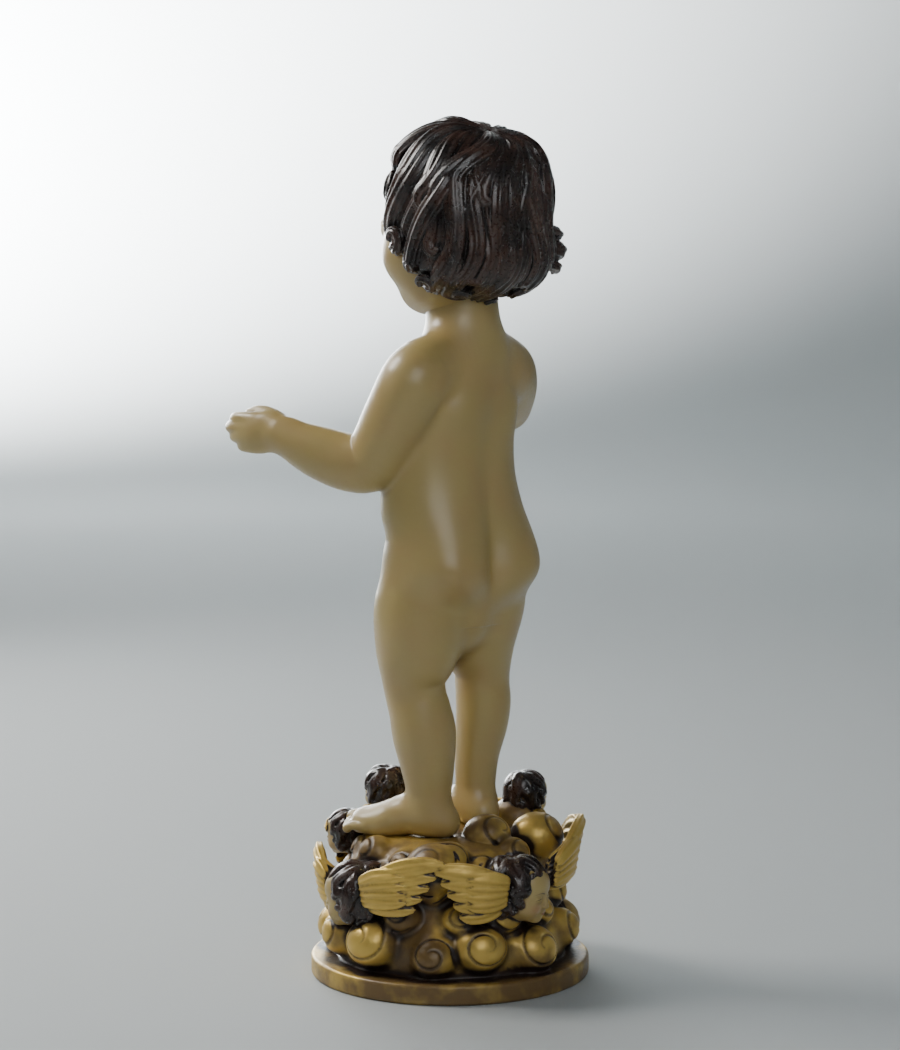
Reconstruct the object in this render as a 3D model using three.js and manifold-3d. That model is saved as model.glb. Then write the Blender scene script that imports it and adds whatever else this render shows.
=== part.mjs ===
// A child Jesus statue: a small painted casting of a bare child with one arm held out and one hand raised,
// standing on a cloud of winged child heads. Millimetres, +Z up. The child faces -Y, so its left is +X.
// The origin is the middle of the base's underside.
import * as THREE from 'three';
import { mergeVertices } from 'three/addons/utils/BufferGeometryUtils.js';
import Module from 'manifold-3d';

const wasm = await Module();
wasm.setup();

// Driving sizes of the child, from its soles to the top of its hair.
const CHILD_HEIGHT = 250;

// Driving sizes of the cloud base.
const BASE_HEIGHT = 50; // underside to the soles
const BASE_WIDTH = 98; // across the plain rim that the cloud stands on
const RIM_HEIGHT = 7;
const LARGE_HEAD_WIDTH = 23; // the ring of heads round the middle of the cloud
const SMALL_HEAD_WIDTH = 16.5; // the heads that look over its top
const WING_THICKNESS = 5;
const SOLE_GAP = 0.3; // between the soles and the cloud they stand on
const FOOT_CLEARANCE = 0.6; // round the feet, where the cloud rises beside them

const FORWARD = new THREE.Vector3(0, -1, 0);
const LEFT = new THREE.Vector3(1, 0, 0);
const UP = new THREE.Vector3(0, 0, 1);

// Points as a closed surface, turned the right way out if its faces point inwards.
function closedSurface(points, faces) {
  const signedVolume = faces.reduce(
    (sum, [a, b, c]) => sum + points[a].dot(new THREE.Vector3().crossVectors(points[b], points[c])),
    0,
  );
  const outward = signedVolume < 0 ? faces.map(([a, b, c]) => [a, c, b]) : faces;
  const geometry = new THREE.BufferGeometry().setFromPoints(points);
  geometry.setIndex(outward.flat());
  return geometry;
}

// The same surface with one shared point wherever points meet.
function welded(geometry) {
  const bare = geometry.clone();
  bare.deleteAttribute('normal');
  bare.deleteAttribute('uv');
  return mergeVertices(bare, 1e-4);
}

function toSolid(geometry) {
  const merged = welded(geometry);
  return new wasm.Manifold(
    new wasm.Mesh({
      numProp: 3,
      vertProperties: new Float32Array(merged.attributes.position.array),
      triVerts: new Uint32Array(merged.index.array),
    }),
  );
}

function toGeometry(solid) {
  const mesh = solid.getMesh();
  const geometry = new THREE.BufferGeometry();
  geometry.setAttribute('position', new THREE.BufferAttribute(new Float32Array(mesh.vertProperties), 3));
  geometry.setIndex(new THREE.BufferAttribute(new Uint32Array(mesh.triVerts), 1));
  const faceted = geometry.toNonIndexed();
  faceted.computeVertexNormals();
  return faceted;
}

const joined = (geometries) => geometries.map(toSolid).reduce((whole, piece) => whole.add(piece));

// Pieces that cross can leave sealed pockets between them. A pocket's skin has a negative volume, and it is filled.
function withoutPockets(solid) {
  return solid
    .decompose()
    .filter((skin) => skin.volume() > 0)
    .reduce((whole, skin) => whole.add(skin));
}

// A round-ended limb through stations [x, y, z, half width, half depth, turn in degrees].
// Width is measured along `side`, and depth across it. `relief` adds to the radius by angle and height.
function limb(stations, { side = LEFT, sides = 12, rings = 10, capRings = 2, relief = () => 0 } = {}) {
  const path = new THREE.CatmullRomCurve3(stations.map(([x, y, z]) => new THREE.Vector3(x, y, z)));
  const girth = new THREE.CatmullRomCurve3(
    stations.map(([, , , wide, deep = wide, turn = 0]) => new THREE.Vector3(wide, deep, turn)),
  );
  const sections = [];
  const addSection = (t, angle) => {
    const tangent = path.getTangent(t);
    const { x: wide, y: deep, z: turn } = girth.getPoint(t);
    const across = side.clone().addScaledVector(tangent, -side.dot(tangent)).normalize();
    across.applyAxisAngle(tangent, THREE.MathUtils.degToRad(turn));
    const through = new THREE.Vector3().crossVectors(tangent, across);
    const centre = path.getPoint(t).addScaledVector(tangent, (Math.sin(angle) * (wide + deep)) / 2);
    sections.push({ centre, across, through, wide: wide * Math.cos(angle), deep: deep * Math.cos(angle) });
  };
  const capStep = Math.PI / 2 / (capRings + 1);
  for (let i = capRings; i > 0; i--) addSection(0, -i * capStep);
  for (let i = 0; i <= rings; i++) addSection(i / rings, 0);
  for (let i = 1; i <= capRings; i++) addSection(1, i * capStep);

  const points = [];
  for (const { centre, across, through, wide, deep } of sections)
    for (let j = 0; j < sides; j++) {
      const angle = (2 * Math.PI * j) / sides;
      const raised = relief(angle, centre.z);
      points.push(
        centre
          .clone()
          .addScaledVector(across, (wide + raised) * Math.cos(angle))
          .addScaledVector(through, (deep + raised) * Math.sin(angle)),
      );
    }
  const endReach = (t) => girth.getPoint(t).setZ(0).dot(new THREE.Vector3(0.5, 0.5, 0));
  points.push(path.getPoint(0).addScaledVector(path.getTangent(0), -endReach(0)));
  points.push(path.getPoint(1).addScaledVector(path.getTangent(1), endReach(1)));
  const [first, last] = [points.length - 2, points.length - 1];
  const lastRing = (sections.length - 1) * sides;

  const faces = [];
  for (let j = 0; j < sides; j++) {
    const next = (j + 1) % sides;
    for (let ring = 0; ring < lastRing; ring += sides)
      faces.push(
        [ring + j, ring + next, ring + sides + j],
        [ring + next, ring + sides + next, ring + sides + j],
      );
    faces.push([first, next, j], [last, lastRing + j, lastRing + next]);
  }
  return closedSurface(points, faces);
}

// An egg of half sizes `radii` about `centre`, with an optional relief that adds to its radius by direction.
function egg(centre, radii, { around = 12, down = 8, relief = () => 0 } = {}) {
  const geometry = welded(new THREE.SphereGeometry(1, around, down).rotateX(Math.PI / 2));
  const position = geometry.attributes.position;
  const direction = new THREE.Vector3();
  const size = new THREE.Vector3(...radii);
  const middle = new THREE.Vector3(...centre);
  for (let i = 0; i < position.count; i++) {
    direction.fromBufferAttribute(position, i);
    const point = direction.clone().multiply(size);
    point.multiplyScalar(1 + relief(direction) / point.length()).add(middle);
    position.setXYZ(i, point.x, point.y, point.z);
  }
  return geometry;
}

// A solid turned about the upright axis, flat at the bottom and the top of its profile. `relief` adds to its
// radius by angle and height.
function turned(profile, around, relief) {
  const points = profile.flatMap(({ x, y }) =>
    Array.from({ length: around }, (_, j) => {
      const angle = (2 * Math.PI * j) / around;
      const radius = x + relief(angle, y);
      return new THREE.Vector3(radius * Math.cos(angle), radius * Math.sin(angle), y);
    }),
  );
  points.push(new THREE.Vector3(0, 0, profile[0].y), new THREE.Vector3(0, 0, profile.at(-1).y));
  const lastRing = (profile.length - 1) * around;
  const faces = [];
  for (let j = 0; j < around; j++) {
    const next = (j + 1) % around;
    for (let ring = 0; ring < lastRing; ring += around)
      faces.push(
        [ring + j, ring + next, ring + around + j],
        [ring + next, ring + around + next, ring + around + j],
      );
    faces.push([points.length - 2, next, j], [points.length - 1, lastRing + j, lastRing + next]);
  }
  return closedSurface(points, faces);
}

const mirrored = ([x, ...rest]) => [-x, ...rest];
const smoothStep = THREE.MathUtils.smoothstep;

// The child is drawn on a scale where it stands 241 units tall, and every length below is a share of that.
const CHILD_UNITS = 241;
const unit = CHILD_HEIGHT / CHILD_UNITS;

const hump = (value, middle, spread) => Math.exp(-(((value - middle) / spread) ** 2));
const angleBetween = (a, b) => Math.atan2(Math.sin(a - b), Math.cos(a - b));

// The back has a furrow down the spine, shoulder blades, and two soft seat masses below it. The front stays plain.
function backRelief(angle, height) {
  const fromSpine = Math.abs(angle - Math.PI / 2);
  const seatHeight = height > 92 ? hump(height, 92, 15) : hump(height, 92, 11);
  const seat = 5.6 * seatHeight * (hump(fromSpine, 0.72, 0.5) - 0.8 * hump(fromSpine, 0, 0.2));
  const spine = -1.8 * hump(fromSpine, 0, 0.2) * hump(height, 130, 26);
  const blades = 1.4 * hump(fromSpine, 0.75, 0.4) * hump(height, 144, 9);
  const belly = 2 * hump(angle, 1.5 * Math.PI, 0.7) * hump(height, 110, 14);
  return seat + spine + blades + belly;
}

function torso() {
  return limb(
    [
      [0, 4.5, 77, 13, 11, 0],
      [0.5, 5, 83, 21.5, 18, 0],
      [0.8, 4.8, 91, 25.6, 19.6, 0],
      [0.5, 3.6, 101, 26.2, 19.4, 1],
      [1, 1.8, 111, 26.2, 19.6, 3],
      [1, 1, 122, 25, 18.8, 6],
      [0.4, 1.4, 134, 23.8, 18, 9],
      [-0.6, 3, 146, 23, 16.8, 12],
      [-1.2, 5, 155, 19.5, 14, 12],
      [-1.5, 6.2, 162.5, 14, 12.8, 12],
      [-1.2, 5.6, 170, 12.4, 12.6, 12],
      [-0.6, 5, 182, 12, 12, 12],
    ],
    { sides: 18, rings: 12, capRings: 1, relief: backRelief },
  );
}

const SHOULDERS = [
  [-20, 2.4, 157, 7.6],
  [-11.5, 4.6, 160.6, 9.4],
  [-1.5, 6.2, 162.4, 10.4],
  [10, 7.8, 160.6, 9.6],
  [18, 8.8, 157.4, 8],
];
const LEFT_LEG = [
  [12, 4.6, 96, 13.4],
  [13.6, 3.4, 86, 14.4],
  [15, 2.4, 77, 15.4],
  [15.4, 1.8, 65, 14.2],
  [16.2, 0.4, 55.5, 10.9],
  [15.2, 0.4, 48, 10.2],
  [14.4, 1.8, 42, 10.4],
  [13.6, 2.8, 35, 10.7],
  [12.6, 3.2, 25, 9.1],
  [12, 3.4, 16, 7.6],
  [11.8, 4, 8, 6.5],
];
const RIGHT_LEG = [
  [-11.6, 4.6, 96, 13],
  [-11.9, 4, 86, 14],
  [-11.6, 3, 77, 14.4],
  [-11, 1.2, 65, 13],
  [-13, 1.4, 55.5, 9.4],
  [-13.6, 0.9, 49.5, 9.3],
  [-13.6, 1.4, 43, 9.4],
  [-12.8, 1.6, 36, 8.9],
  [-11.4, 0.8, 25.5, 7.6],
  [-11, 0.4, 16, 6.9],
  [-10.8, 0.8, 8, 6.3],
];
const LEFT_ARM = [
  [18.5, 8.6, 156.5, 11],
  [23.6, 9.4, 152.6, 11.3],
  [26, 3.4, 141, 11],
  [28.6, -4.6, 127.8, 10.2],
  [33, -11.2, 126, 9.7],
  [39, -20, 129, 8.8],
  [44, -27, 132.6, 7],
  [46.9, -30.9, 135, 5.5],
];
const RIGHT_ARM = [
  [-18, 3.6, 157, 10.4],
  [-23, 1, 155, 10.8],
  [-30.5, -6, 150.4, 10.4],
  [-38, -15, 145, 9.7],
  [-43, -21.5, 141.6, 9.2],
  [-42.6, -27.5, 147.6, 8.8],
  [-41, -32, 155, 8.1],
  [-39.4, -36, 162.5, 6.6],
  [-38.8, -38, 167.5, 5.5],
];

// A hand has its own directions: `reach` from the wrist to the knuckles, `spread` from the little finger
// to the thumb, and `curl` the way the fingers close.
function hand(wrist, { reach, spread, curl }, fingers, thumb) {
  const place = (along, across, through) =>
    wrist.clone().addScaledVector(reach, along).addScaledVector(spread, across).addScaledVector(curl, through);
  const station = ([along, across, through, wide, deep]) => [...place(along, across, through), wide, deep ?? wide];
  const palm = limb(
    [
      [-1, 0, 0, 5.4, 5],
      [4, 0.2, 0, 6.2, 4.6],
      [9, 0.2, 0.2, 6.9, 3.9],
      [13, 0, 0.6, 6.6, 3.2],
    ].map(station),
    { side: spread, sides: 8, rings: 3, capRings: 1 },
  );
  const digits = [...fingers, thumb].map((stations) =>
    limb(stations.map(station), { side: spread, sides: 5, rings: 2, capRings: 1 }),
  );
  return [palm, ...digits];
}

// A finger's stations: it leaves the knuckle along the hand, then turns towards the palm by `bend` at each joint.
function finger(across, knuckle, lengths, bend, radius) {
  const stations = [[knuckle, across, 0, radius]];
  let [along, through, angle] = [knuckle, 0, bend * 0.4];
  lengths.forEach((length, i) => {
    along += length * Math.cos(angle);
    through += length * Math.sin(angle);
    angle += bend;
    stations.push([along, across * (1 - 0.06 * i), through, radius * (1 - 0.07 * (i + 1))]);
  });
  return stations;
}

function leftHand() {
  const reach = new THREE.Vector3(0.47, -0.88, 0.02).normalize();
  const spread = UP.clone();
  const curl = new THREE.Vector3().crossVectors(spread, reach).negate().normalize();
  const bend = 0.72;
  return hand(
    new THREE.Vector3(46.9, -30.9, 135),
    { reach, spread, curl },
    [
      finger(5, 12, [6, 4.5, 3.5], bend * 0.8, 2.4),
      finger(1.7, 12.5, [6.8, 5, 3.8], bend * 0.75, 2.5),
      finger(-1.7, 12, [6.4, 4.8, 3.6], bend * 0.85, 2.4),
      finger(-4.9, 10.8, [5.4, 4, 3.2], bend, 2.2),
    ],
    [
      [3, 4.6, 2, 3.2],
      [8, 6.6, 4, 2.9],
      [12.5, 7, 6, 2.6],
      [16, 6.2, 7.4, 2.3],
    ],
  );
}

function rightHand() {
  const reach = new THREE.Vector3(0.08, -0.2, 0.97).normalize();
  const spread = LEFT.clone().addScaledVector(reach, -reach.x).normalize();
  const curl = new THREE.Vector3().crossVectors(reach, spread).normalize();
  if (curl.dot(FORWARD) < 0) curl.negate();
  return hand(
    new THREE.Vector3(-38.8, -38, 167.5),
    { reach, spread, curl },
    [
      finger(4.9, 12, [6, 4.6, 3.6], 0.1, 2.4),
      finger(1.6, 12.5, [6.8, 5, 3.8], 0.12, 2.5),
      finger(-1.8, 12, [5.6, 4.6, 3.2], 1.15, 2.4),
      finger(-5, 10.8, [4.8, 3.8, 3], 1.2, 2.2),
    ],
    [
      [3, 4.4, 1.6, 3.2],
      [7.5, 7.4, 3.4, 2.9],
      [11.5, 8.8, 5, 2.6],
      [15, 9, 6.2, 2.3],
    ],
  );
}

// A foot's stations run from the heel to the ball, as [ahead of the ankle, height, half width, half height].
const FOOT = [
  [-5.5, 5.6, 5.2, 5.6],
  [-0.5, 7.2, 6.6, 7.4],
  [7, 7.4, 6.9, 7.2],
  [14, 5.4, 7.4, 5.4],
  [20.5, 3.9, 7.9, 4],
  [24, 3.3, 7.4, 3.4],
];
// Toes, as [place across the foot, from the big toe's side, length, radius].
const TOES = [
  [-5.2, 6.2, 2.9],
  [-1.5, 5.6, 2.05],
  [1.3, 4.9, 1.9],
  [3.9, 4.1, 1.75],
  [6.1, 3.2, 1.6],
];

function foot(ankle, toeOut, bigToeSide, swell = 0) {
  const turn = THREE.MathUtils.degToRad(toeOut);
  const ahead = FORWARD.clone().applyAxisAngle(UP, turn);
  const across = LEFT.clone().applyAxisAngle(UP, turn).multiplyScalar(bigToeSide);
  const place = (along, sideways, height) =>
    ankle.clone().addScaledVector(ahead, along).addScaledVector(across, sideways).setZ(height);
  const sole = limb(
    FOOT.map(([along, height, wide, high]) => [...place(along, 0, height), wide + swell, high + swell]),
    { side: across, sides: 8, rings: 5, capRings: 1 },
  );
  const toes = TOES.map(([sideways, length, radius]) =>
    limb(
      [
        [...place(22, sideways, radius + 0.6), radius + swell],
        [...place(24.5 + length, sideways * 1.03, radius), radius + swell],
      ],
      { side: across, sides: 5, rings: 1, capRings: 1 },
    ),
  );
  return [sole, ...toes];
}

const LEFT_FOOT = [new THREE.Vector3(12, 3.4, 0), 25, 1];
const RIGHT_FOOT = [new THREE.Vector3(-11, 0.6, 0), -14, -1];

// The head has its own origin at its middle and looks along -Y before it is turned on the neck.
const HEAD_CENTRE = new THREE.Vector3(0.6, 4.6, 208);
const HEAD_TURN = 14;
const HEAD_NOD = 3;

// A calm child's face on the usual proportions: full cheeks, a small chin, and the eyes halfway down the head.
function faceRelief(direction) {
  const around = Math.abs(Math.atan2(direction.x, -direction.y));
  const height = direction.z;
  const jaw = 3.6 * hump(around, 0, 0.9) * hump(height, -0.62, 0.26);
  const chin = 5.2 * hump(around, 0, 0.36) * hump(height, -0.83, 0.13);
  const cheek = 3 * hump(around, 0.56, 0.34) * hump(height, -0.44, 0.22);
  const socket = -2.4 * hump(around, 0.4, 0.2) * hump(height, -0.1, 0.13);
  return jaw + chin + cheek + socket;
}

function face() {
  const pair = (centre, radii, detail) => [egg(centre, radii, detail), egg(mirrored(centre), radii, detail)];
  return [
    egg([0, 1, 0.4], [24.8, 27, 31.6], { around: 20, down: 12, relief: faceRelief }),
    ...pair([9.4, -20.8, -3], [4.2, 3.2, 2.9], { around: 7, down: 4 }),
    limb([[0, -23.6, 0, 1.7], [0, -26, -6, 2], [0, -27, -10.4, 3]], { sides: 6, rings: 3, capRings: 1 }),
    ...pair([2.8, -25.2, -11.2], [1.8, 2, 1.6], { around: 6, down: 4 }),
    limb([[-4.6, -23, -17.6, 1], [0, -25.4, -17, 1.8], [4.6, -23, -17.6, 1]], {
      side: UP,
      sides: 5,
      rings: 4,
      capRings: 1,
    }),
    egg([0, -24.2, -19.6], [3.4, 2.2, 1.5], { around: 7, down: 4 }),
  ];
}

// Locks run down the hair from the crown in loose waves, and it is drawn in over the face so that the
// forehead shows.
const HAIR_LOCKS = 8;

function hairRelief(direction) {
  const around = Math.atan2(direction.x, -direction.y);
  const down = Math.acos(direction.z);
  const front = 1 - smoothStep(Math.abs(around), 0.75, 1.05);
  const overFace = front * smoothStep(down, 0.9, 1.15);
  const napeFullness = 6 * (1 - front) * hump(direction.z, -0.72, 0.3);
  const backFullness = 2.6 * hump(angleBetween(around, -2.6), 0, 0.8) * hump(down, 0.9, 0.45);
  const lock = Math.cos(HAIR_LOCKS * around + 1.5 * Math.sin(3 * down)) * Math.sin(down);
  const wave = Math.cos(7 * down + 2 * Math.sin(3 * around)) * Math.sin(down);
  return 1.3 * lock + 0.6 * wave + napeFullness + backFullness - 8 * overFace;
}

// A curl is an oval of hair that lies on the head at `centre`, leaning by `lean` from the upright.
function curl(centre, size, lean) {
  const out = new THREE.Vector3(centre[0], centre[1] - 2, centre[2] * 0.6).normalize();
  const along = UP.clone().addScaledVector(out, -out.z).normalize().applyAxisAngle(out, lean);
  const across = new THREE.Vector3().crossVectors(out, along);
  const place = new THREE.Matrix4().makeBasis(across, out, along).setPosition(...centre);
  return egg([0, 0, 0], [size * 0.4, size * 0.38, size * 0.66], { around: 7, down: 4 }).applyMatrix4(place);
}

// Curls stand in rows round the head, as [angle from the face, height, size, lean]. They lie half sunk in the
// egg of the hair.
const CURL_SINK = 0.93;
const HAIR_RADII = [27.6, 29.8, 30.6];
const HAIR_CENTRE = [0, 2.5, 1.4];
const bothSides = ([angle, height, size, lean]) => [
  [angle, height, size, lean],
  [-angle, height, size, -lean],
];
const CURLS = [
  [2, 20, 10, 1.2],
  ...[
    [24, 18, 10.5, 1],
    [48, 11, 11, 0.7],
    [68, -5, 11, 0.4],
    [86, -18, 10, 0.2],
    [116, -23, 10, 0],
  ].flatMap(bothSides),
  [150, -26, 10, -0.2],
  [-147, -24, 13, 0.2],
  [-143, -11, 13.5, -0.3],
  [180, -27, 9, 0],
];

function hair() {
  const cap = egg(HAIR_CENTRE, HAIR_RADII, { around: 24, down: 12, relief: hairRelief });
  const curls = CURLS.map(([angle, height, size, lean]) => {
    const turn = THREE.MathUtils.degToRad(angle);
    const reach = CURL_SINK * Math.sqrt(Math.max(1 - ((height - HAIR_CENTRE[2]) / HAIR_RADII[2]) ** 2, 0.55));
    const centre = [
      HAIR_RADII[0] * reach * Math.sin(turn),
      HAIR_CENTRE[1] - HAIR_RADII[1] * reach * Math.cos(turn),
      height,
    ];
    return curl(centre, size, lean);
  });
  return [cap, ...curls];
}

function head() {
  const turn = new THREE.Matrix4()
    .makeRotationZ(THREE.MathUtils.degToRad(HEAD_TURN))
    .multiply(new THREE.Matrix4().makeRotationX(THREE.MathUtils.degToRad(HEAD_NOD)));
  turn.setPosition(HEAD_CENTRE);
  return [...face(), ...hair()].map((piece) => piece.applyMatrix4(turn));
}

// Everything below the given height, as a block to cut away.
function below(height, reach = 200) {
  return toSolid(new THREE.BoxGeometry(reach, reach, reach).translate(0, 0, height - reach / 2));
}

function childSolid() {
  const pieces = [
    torso(),
    limb(SHOULDERS, { side: UP, sides: 9, rings: 4, capRings: 1 }),
    limb(LEFT_LEG, { sides: 10, rings: 8, capRings: 1 }),
    limb(RIGHT_LEG, { sides: 10, rings: 8, capRings: 1 }),
    limb(LEFT_ARM, { side: new THREE.Vector3(0.5, 0.86, 0), sides: 10, rings: 9, capRings: 1 }),
    limb(RIGHT_ARM, { side: new THREE.Vector3(-0.5, 0.86, 0), sides: 10, rings: 9, capRings: 1 }),
    ...leftHand(),
    ...rightHand(),
    ...foot(...LEFT_FOOT),
    ...foot(...RIGHT_FOOT),
    ...head(),
  ].map((piece) => piece.scale(unit, unit, unit));
  return withoutPockets(joined(pieces).subtract(below(0)));
}

// A winged head's face and hair in one egg: the hair stands out round the face, the cheeks and nose inside it.
function cherubRelief(radius) {
  return (direction) => {
    const around = Math.atan2(direction.x, -direction.y);
    const face = (1 - smoothStep(Math.abs(around), 0.75, 1)) * (1 - smoothStep(direction.z, 0.3, 0.5));
    const lump = 0.08 * Math.cos(6 * around) * Math.cos(5 * direction.z);
    const nose = 0.16 * hump(around, 0, 0.22) * hump(direction.z, -0.05, 0.22);
    const cheeks = 0.07 * hump(Math.abs(around), 0.5, 0.3) * hump(direction.z, -0.35, 0.3);
    return radius * (face * (nose + cheeks - 0.02) + (1 - face) * (0.12 + lump));
  };
}

function cherubHead(width, detail) {
  const radius = width / 2.24;
  return egg([0, 0, 0], [radius * 0.95, radius, radius * 1.04], { ...detail, relief: cherubRelief(radius) });
}

// Polar place on the base, from the angle round from +X, the distance out and the height.
function onBase(angle, out, height) {
  const turn = THREE.MathUtils.degToRad(angle);
  return [out * Math.cos(turn), out * Math.sin(turn), height];
}

// A wing is a fan of broad feathers that sweeps from a head's side round the cloud. The top feather is the
// longest and ends highest.
const baseRadius = BASE_WIDTH / 2;

function wing({ angle, out, root, side, reach, tip, width, feathers }) {
  return Array.from({ length: feathers }, (_, i) => {
    const sweep = side * reach * (1 - 0.14 * i);
    const girth = (width * 0.8) / (feathers + 1);
    const end = tip - (width * 0.78 * i) / feathers;
    const thick = WING_THICKNESS * 0.5;
    return limb(
      [
        [...onBase(angle + sweep * 0.1, out * 0.95, root - i), girth, thick],
        [...onBase(angle + sweep * 0.55, out - i * 0.7, root * 0.3 + end * 0.7 + 1), girth * 1.15, thick],
        [...onBase(angle + sweep, out - i * 0.7, end), girth * 0.6, thick * 0.7],
      ],
      { side: UP, sides: 5, rings: 2, capRings: 1 },
    );
  });
}

// Each head of the base, as its angle round from +X, how far it looks off the straight outward line, the height
// of its middle from the soles, and its distance out as a share of the base's radius. Its wings are
// [side, degrees round, tip height from the soles].
const LARGE_HEADS = [
  { angle: -6, look: -50, height: -18, out: 0.81, wings: [[-1, 36, -8], [1, 52, -4]] },
  { angle: 87, look: 30, height: -16.5, out: 0.81, wings: [[-1, 42, -6], [1, 50, 3]] },
  { angle: 184, look: 0, height: -17, out: 0.8, wings: [[-1, 40, 0], [1, 40, -3]] },
  { angle: 266, look: 0, height: -17, out: 0.8, wings: [[-1, 38, -3], [1, 38, -3]] },
];
const SMALL_HEADS = [
  { angle: -60, look: 0, height: -3.5, out: 0.8, wings: [] },
  { angle: -81, look: 0, height: 11, out: 0.64, wings: [[-1, 32, 5], [1, 32, 5]] },
  { angle: 174, look: 0, height: 9.5, out: 0.68, wings: [[-1, 32, 4], [1, 32, 4]] },
  { angle: 228, look: 0, height: -1, out: 0.8, wings: [] },
];

// Large heads have full wings that start outside the cheeks. The small ones have one narrow feather on each
// side, under the chin. Lengths are shares of the head's width, and the stand-off of its distance out.
const CHERUB_NOD = 11;
const LARGE_WINGS = { feathers: 3, standOff: 1.16, drop: 0.04, fullness: 1.05 };
const SMALL_WINGS = { feathers: 1, standOff: 1, drop: 0.35, fullness: 0.7 };

function cherub({ angle, look, height, out, wings }, width, style, detail) {
  const distance = out * baseRadius;
  const place = new THREE.Matrix4()
    .makeRotationZ(THREE.MathUtils.degToRad(angle + look + 90))
    .multiply(new THREE.Matrix4().makeRotationX(THREE.MathUtils.degToRad(CHERUB_NOD)));
  place.setPosition(...onBase(angle, distance, BASE_HEIGHT + height));
  const fans = wings.flatMap(([side, reach, tip]) =>
    wing({
      angle,
      out: distance * style.standOff,
      root: BASE_HEIGHT + height - width * style.drop,
      side,
      reach,
      tip: BASE_HEIGHT + tip,
      width: width * style.fullness,
      feathers: style.feathers,
    }),
  );
  return [cherubHead(width, detail).applyMatrix4(place), ...fans];
}

// The cloud billows in two rows of lobes, one above the plain rim and one under the feet.
function billows(angle, height) {
  const lower = 5 * hump(height, RIM_HEIGHT + 10, 8) * (0.5 + 0.5 * Math.cos(8 * angle + 0.6));
  const upper = 4 * hump(height, BASE_HEIGHT - 6, 7) * (0.5 + 0.5 * Math.cos(7 * angle + 2));
  return height > RIM_HEIGHT ? lower + upper : 0;
}

function cloud() {
  const ledge = 0.5;
  const rim = [
    [baseRadius, 0],
    [baseRadius, RIM_HEIGHT - ledge],
  ];
  // Above the rim the cloud draws in, as [share of the radius, share of the height from the rim to the soles].
  const rise = BASE_HEIGHT - RIM_HEIGHT - ledge;
  const sides = [
    [0.88, 0],
    [0.88, 0.12],
    [0.86, 0.26],
    [0.77, 0.42],
    [0.74, 0.6],
    [0.74, 0.75],
    [0.74, 0.88],
    [0.67, 0.97],
    [0.54, 1.02],
  ].map(([radius, share]) => [radius * baseRadius, RIM_HEIGHT + ledge + share * rise]);
  const profile = [...rim, ...sides].map(([radius, height]) => new THREE.Vector2(radius, height));
  // Puffs stand on the cloud, each [angle, distance out, height from the soles, radius].
  const puffs = [
    [97, 17 * unit, 0.5, 8.5],
    [-81, baseRadius * 0.57, 1.5, 9.5],
    [176, baseRadius * 0.61, 0.5, 9.5],
    [130, baseRadius * 0.63, -1, 9.5],
    [40, baseRadius * 0.66, -7, 10],
  ];
  return [
    turned(profile, 24, billows),
    ...puffs.map(([angle, out, height, radius]) =>
      egg(onBase(angle, out, BASE_HEIGHT + height), [radius, radius, radius * 0.85], { around: 8, down: 4 }),
    ),
  ];
}

// The cloud is cut back round the feet and ankles, which leaves a flat place under each sole.
function standingRoom() {
  const swell = FOOT_CLEARANCE / unit;
  const ankles = [LEFT_LEG, RIGHT_LEG].map((leg) =>
    limb(leg.slice(-4).map(([x, y, z, radius]) => [x, y, z, radius + swell]), { sides: 10, rings: 4 }),
  );
  const pieces = [...foot(...LEFT_FOOT, swell), ...foot(...RIGHT_FOOT, swell), ...ankles];
  return joined(pieces.map((piece) => piece.scale(unit, unit, unit)))
    .subtract(below(0))
    .translate([0, 0, BASE_HEIGHT - SOLE_GAP]);
}

function baseSolid() {
  const heads = [
    ...LARGE_HEADS.flatMap((head) => cherub(head, LARGE_HEAD_WIDTH, LARGE_WINGS, { around: 12, down: 7 })),
    ...SMALL_HEADS.flatMap((head) => cherub(head, SMALL_HEAD_WIDTH, SMALL_WINGS, { around: 8, down: 5 })),
  ];
  return withoutPockets(joined([...cloud(), ...heads]).subtract(standingRoom()).subtract(below(0)));
}

const fleshPaint = new THREE.MeshStandardMaterial({ color: 0xb8a27a, roughness: 0.45, metalness: 0 });
const giltPaint = new THREE.MeshStandardMaterial({ color: 0x9a7a3c, roughness: 0.5, metalness: 0.35 });

const statue = new THREE.Group();
const child = new THREE.Mesh(toGeometry(childSolid()), fleshPaint);
child.name = 'child_figure';
child.position.z = BASE_HEIGHT;
const base = new THREE.Mesh(toGeometry(baseSolid()), giltPaint);
base.name = 'cloud_base';
statue.add(base, child);

export default statue;
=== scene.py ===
import math

import bmesh
import bpy
import numpy as np
import openvdb
from mathutils import Euler, Matrix, Vector


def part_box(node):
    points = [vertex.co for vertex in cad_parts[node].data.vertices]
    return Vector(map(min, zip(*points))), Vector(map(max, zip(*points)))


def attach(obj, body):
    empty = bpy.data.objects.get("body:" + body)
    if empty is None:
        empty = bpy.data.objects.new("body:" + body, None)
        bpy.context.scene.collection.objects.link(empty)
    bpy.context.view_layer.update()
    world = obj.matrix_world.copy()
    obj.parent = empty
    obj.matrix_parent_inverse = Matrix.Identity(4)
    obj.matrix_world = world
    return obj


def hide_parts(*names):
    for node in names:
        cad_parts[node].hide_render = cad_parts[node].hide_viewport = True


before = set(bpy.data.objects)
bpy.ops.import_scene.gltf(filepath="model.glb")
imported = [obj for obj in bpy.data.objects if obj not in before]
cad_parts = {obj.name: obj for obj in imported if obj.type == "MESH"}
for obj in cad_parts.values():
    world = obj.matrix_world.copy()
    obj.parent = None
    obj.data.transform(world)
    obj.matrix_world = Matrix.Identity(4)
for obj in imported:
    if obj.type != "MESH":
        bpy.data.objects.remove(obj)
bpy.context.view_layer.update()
scene = bpy.context.scene

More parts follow.
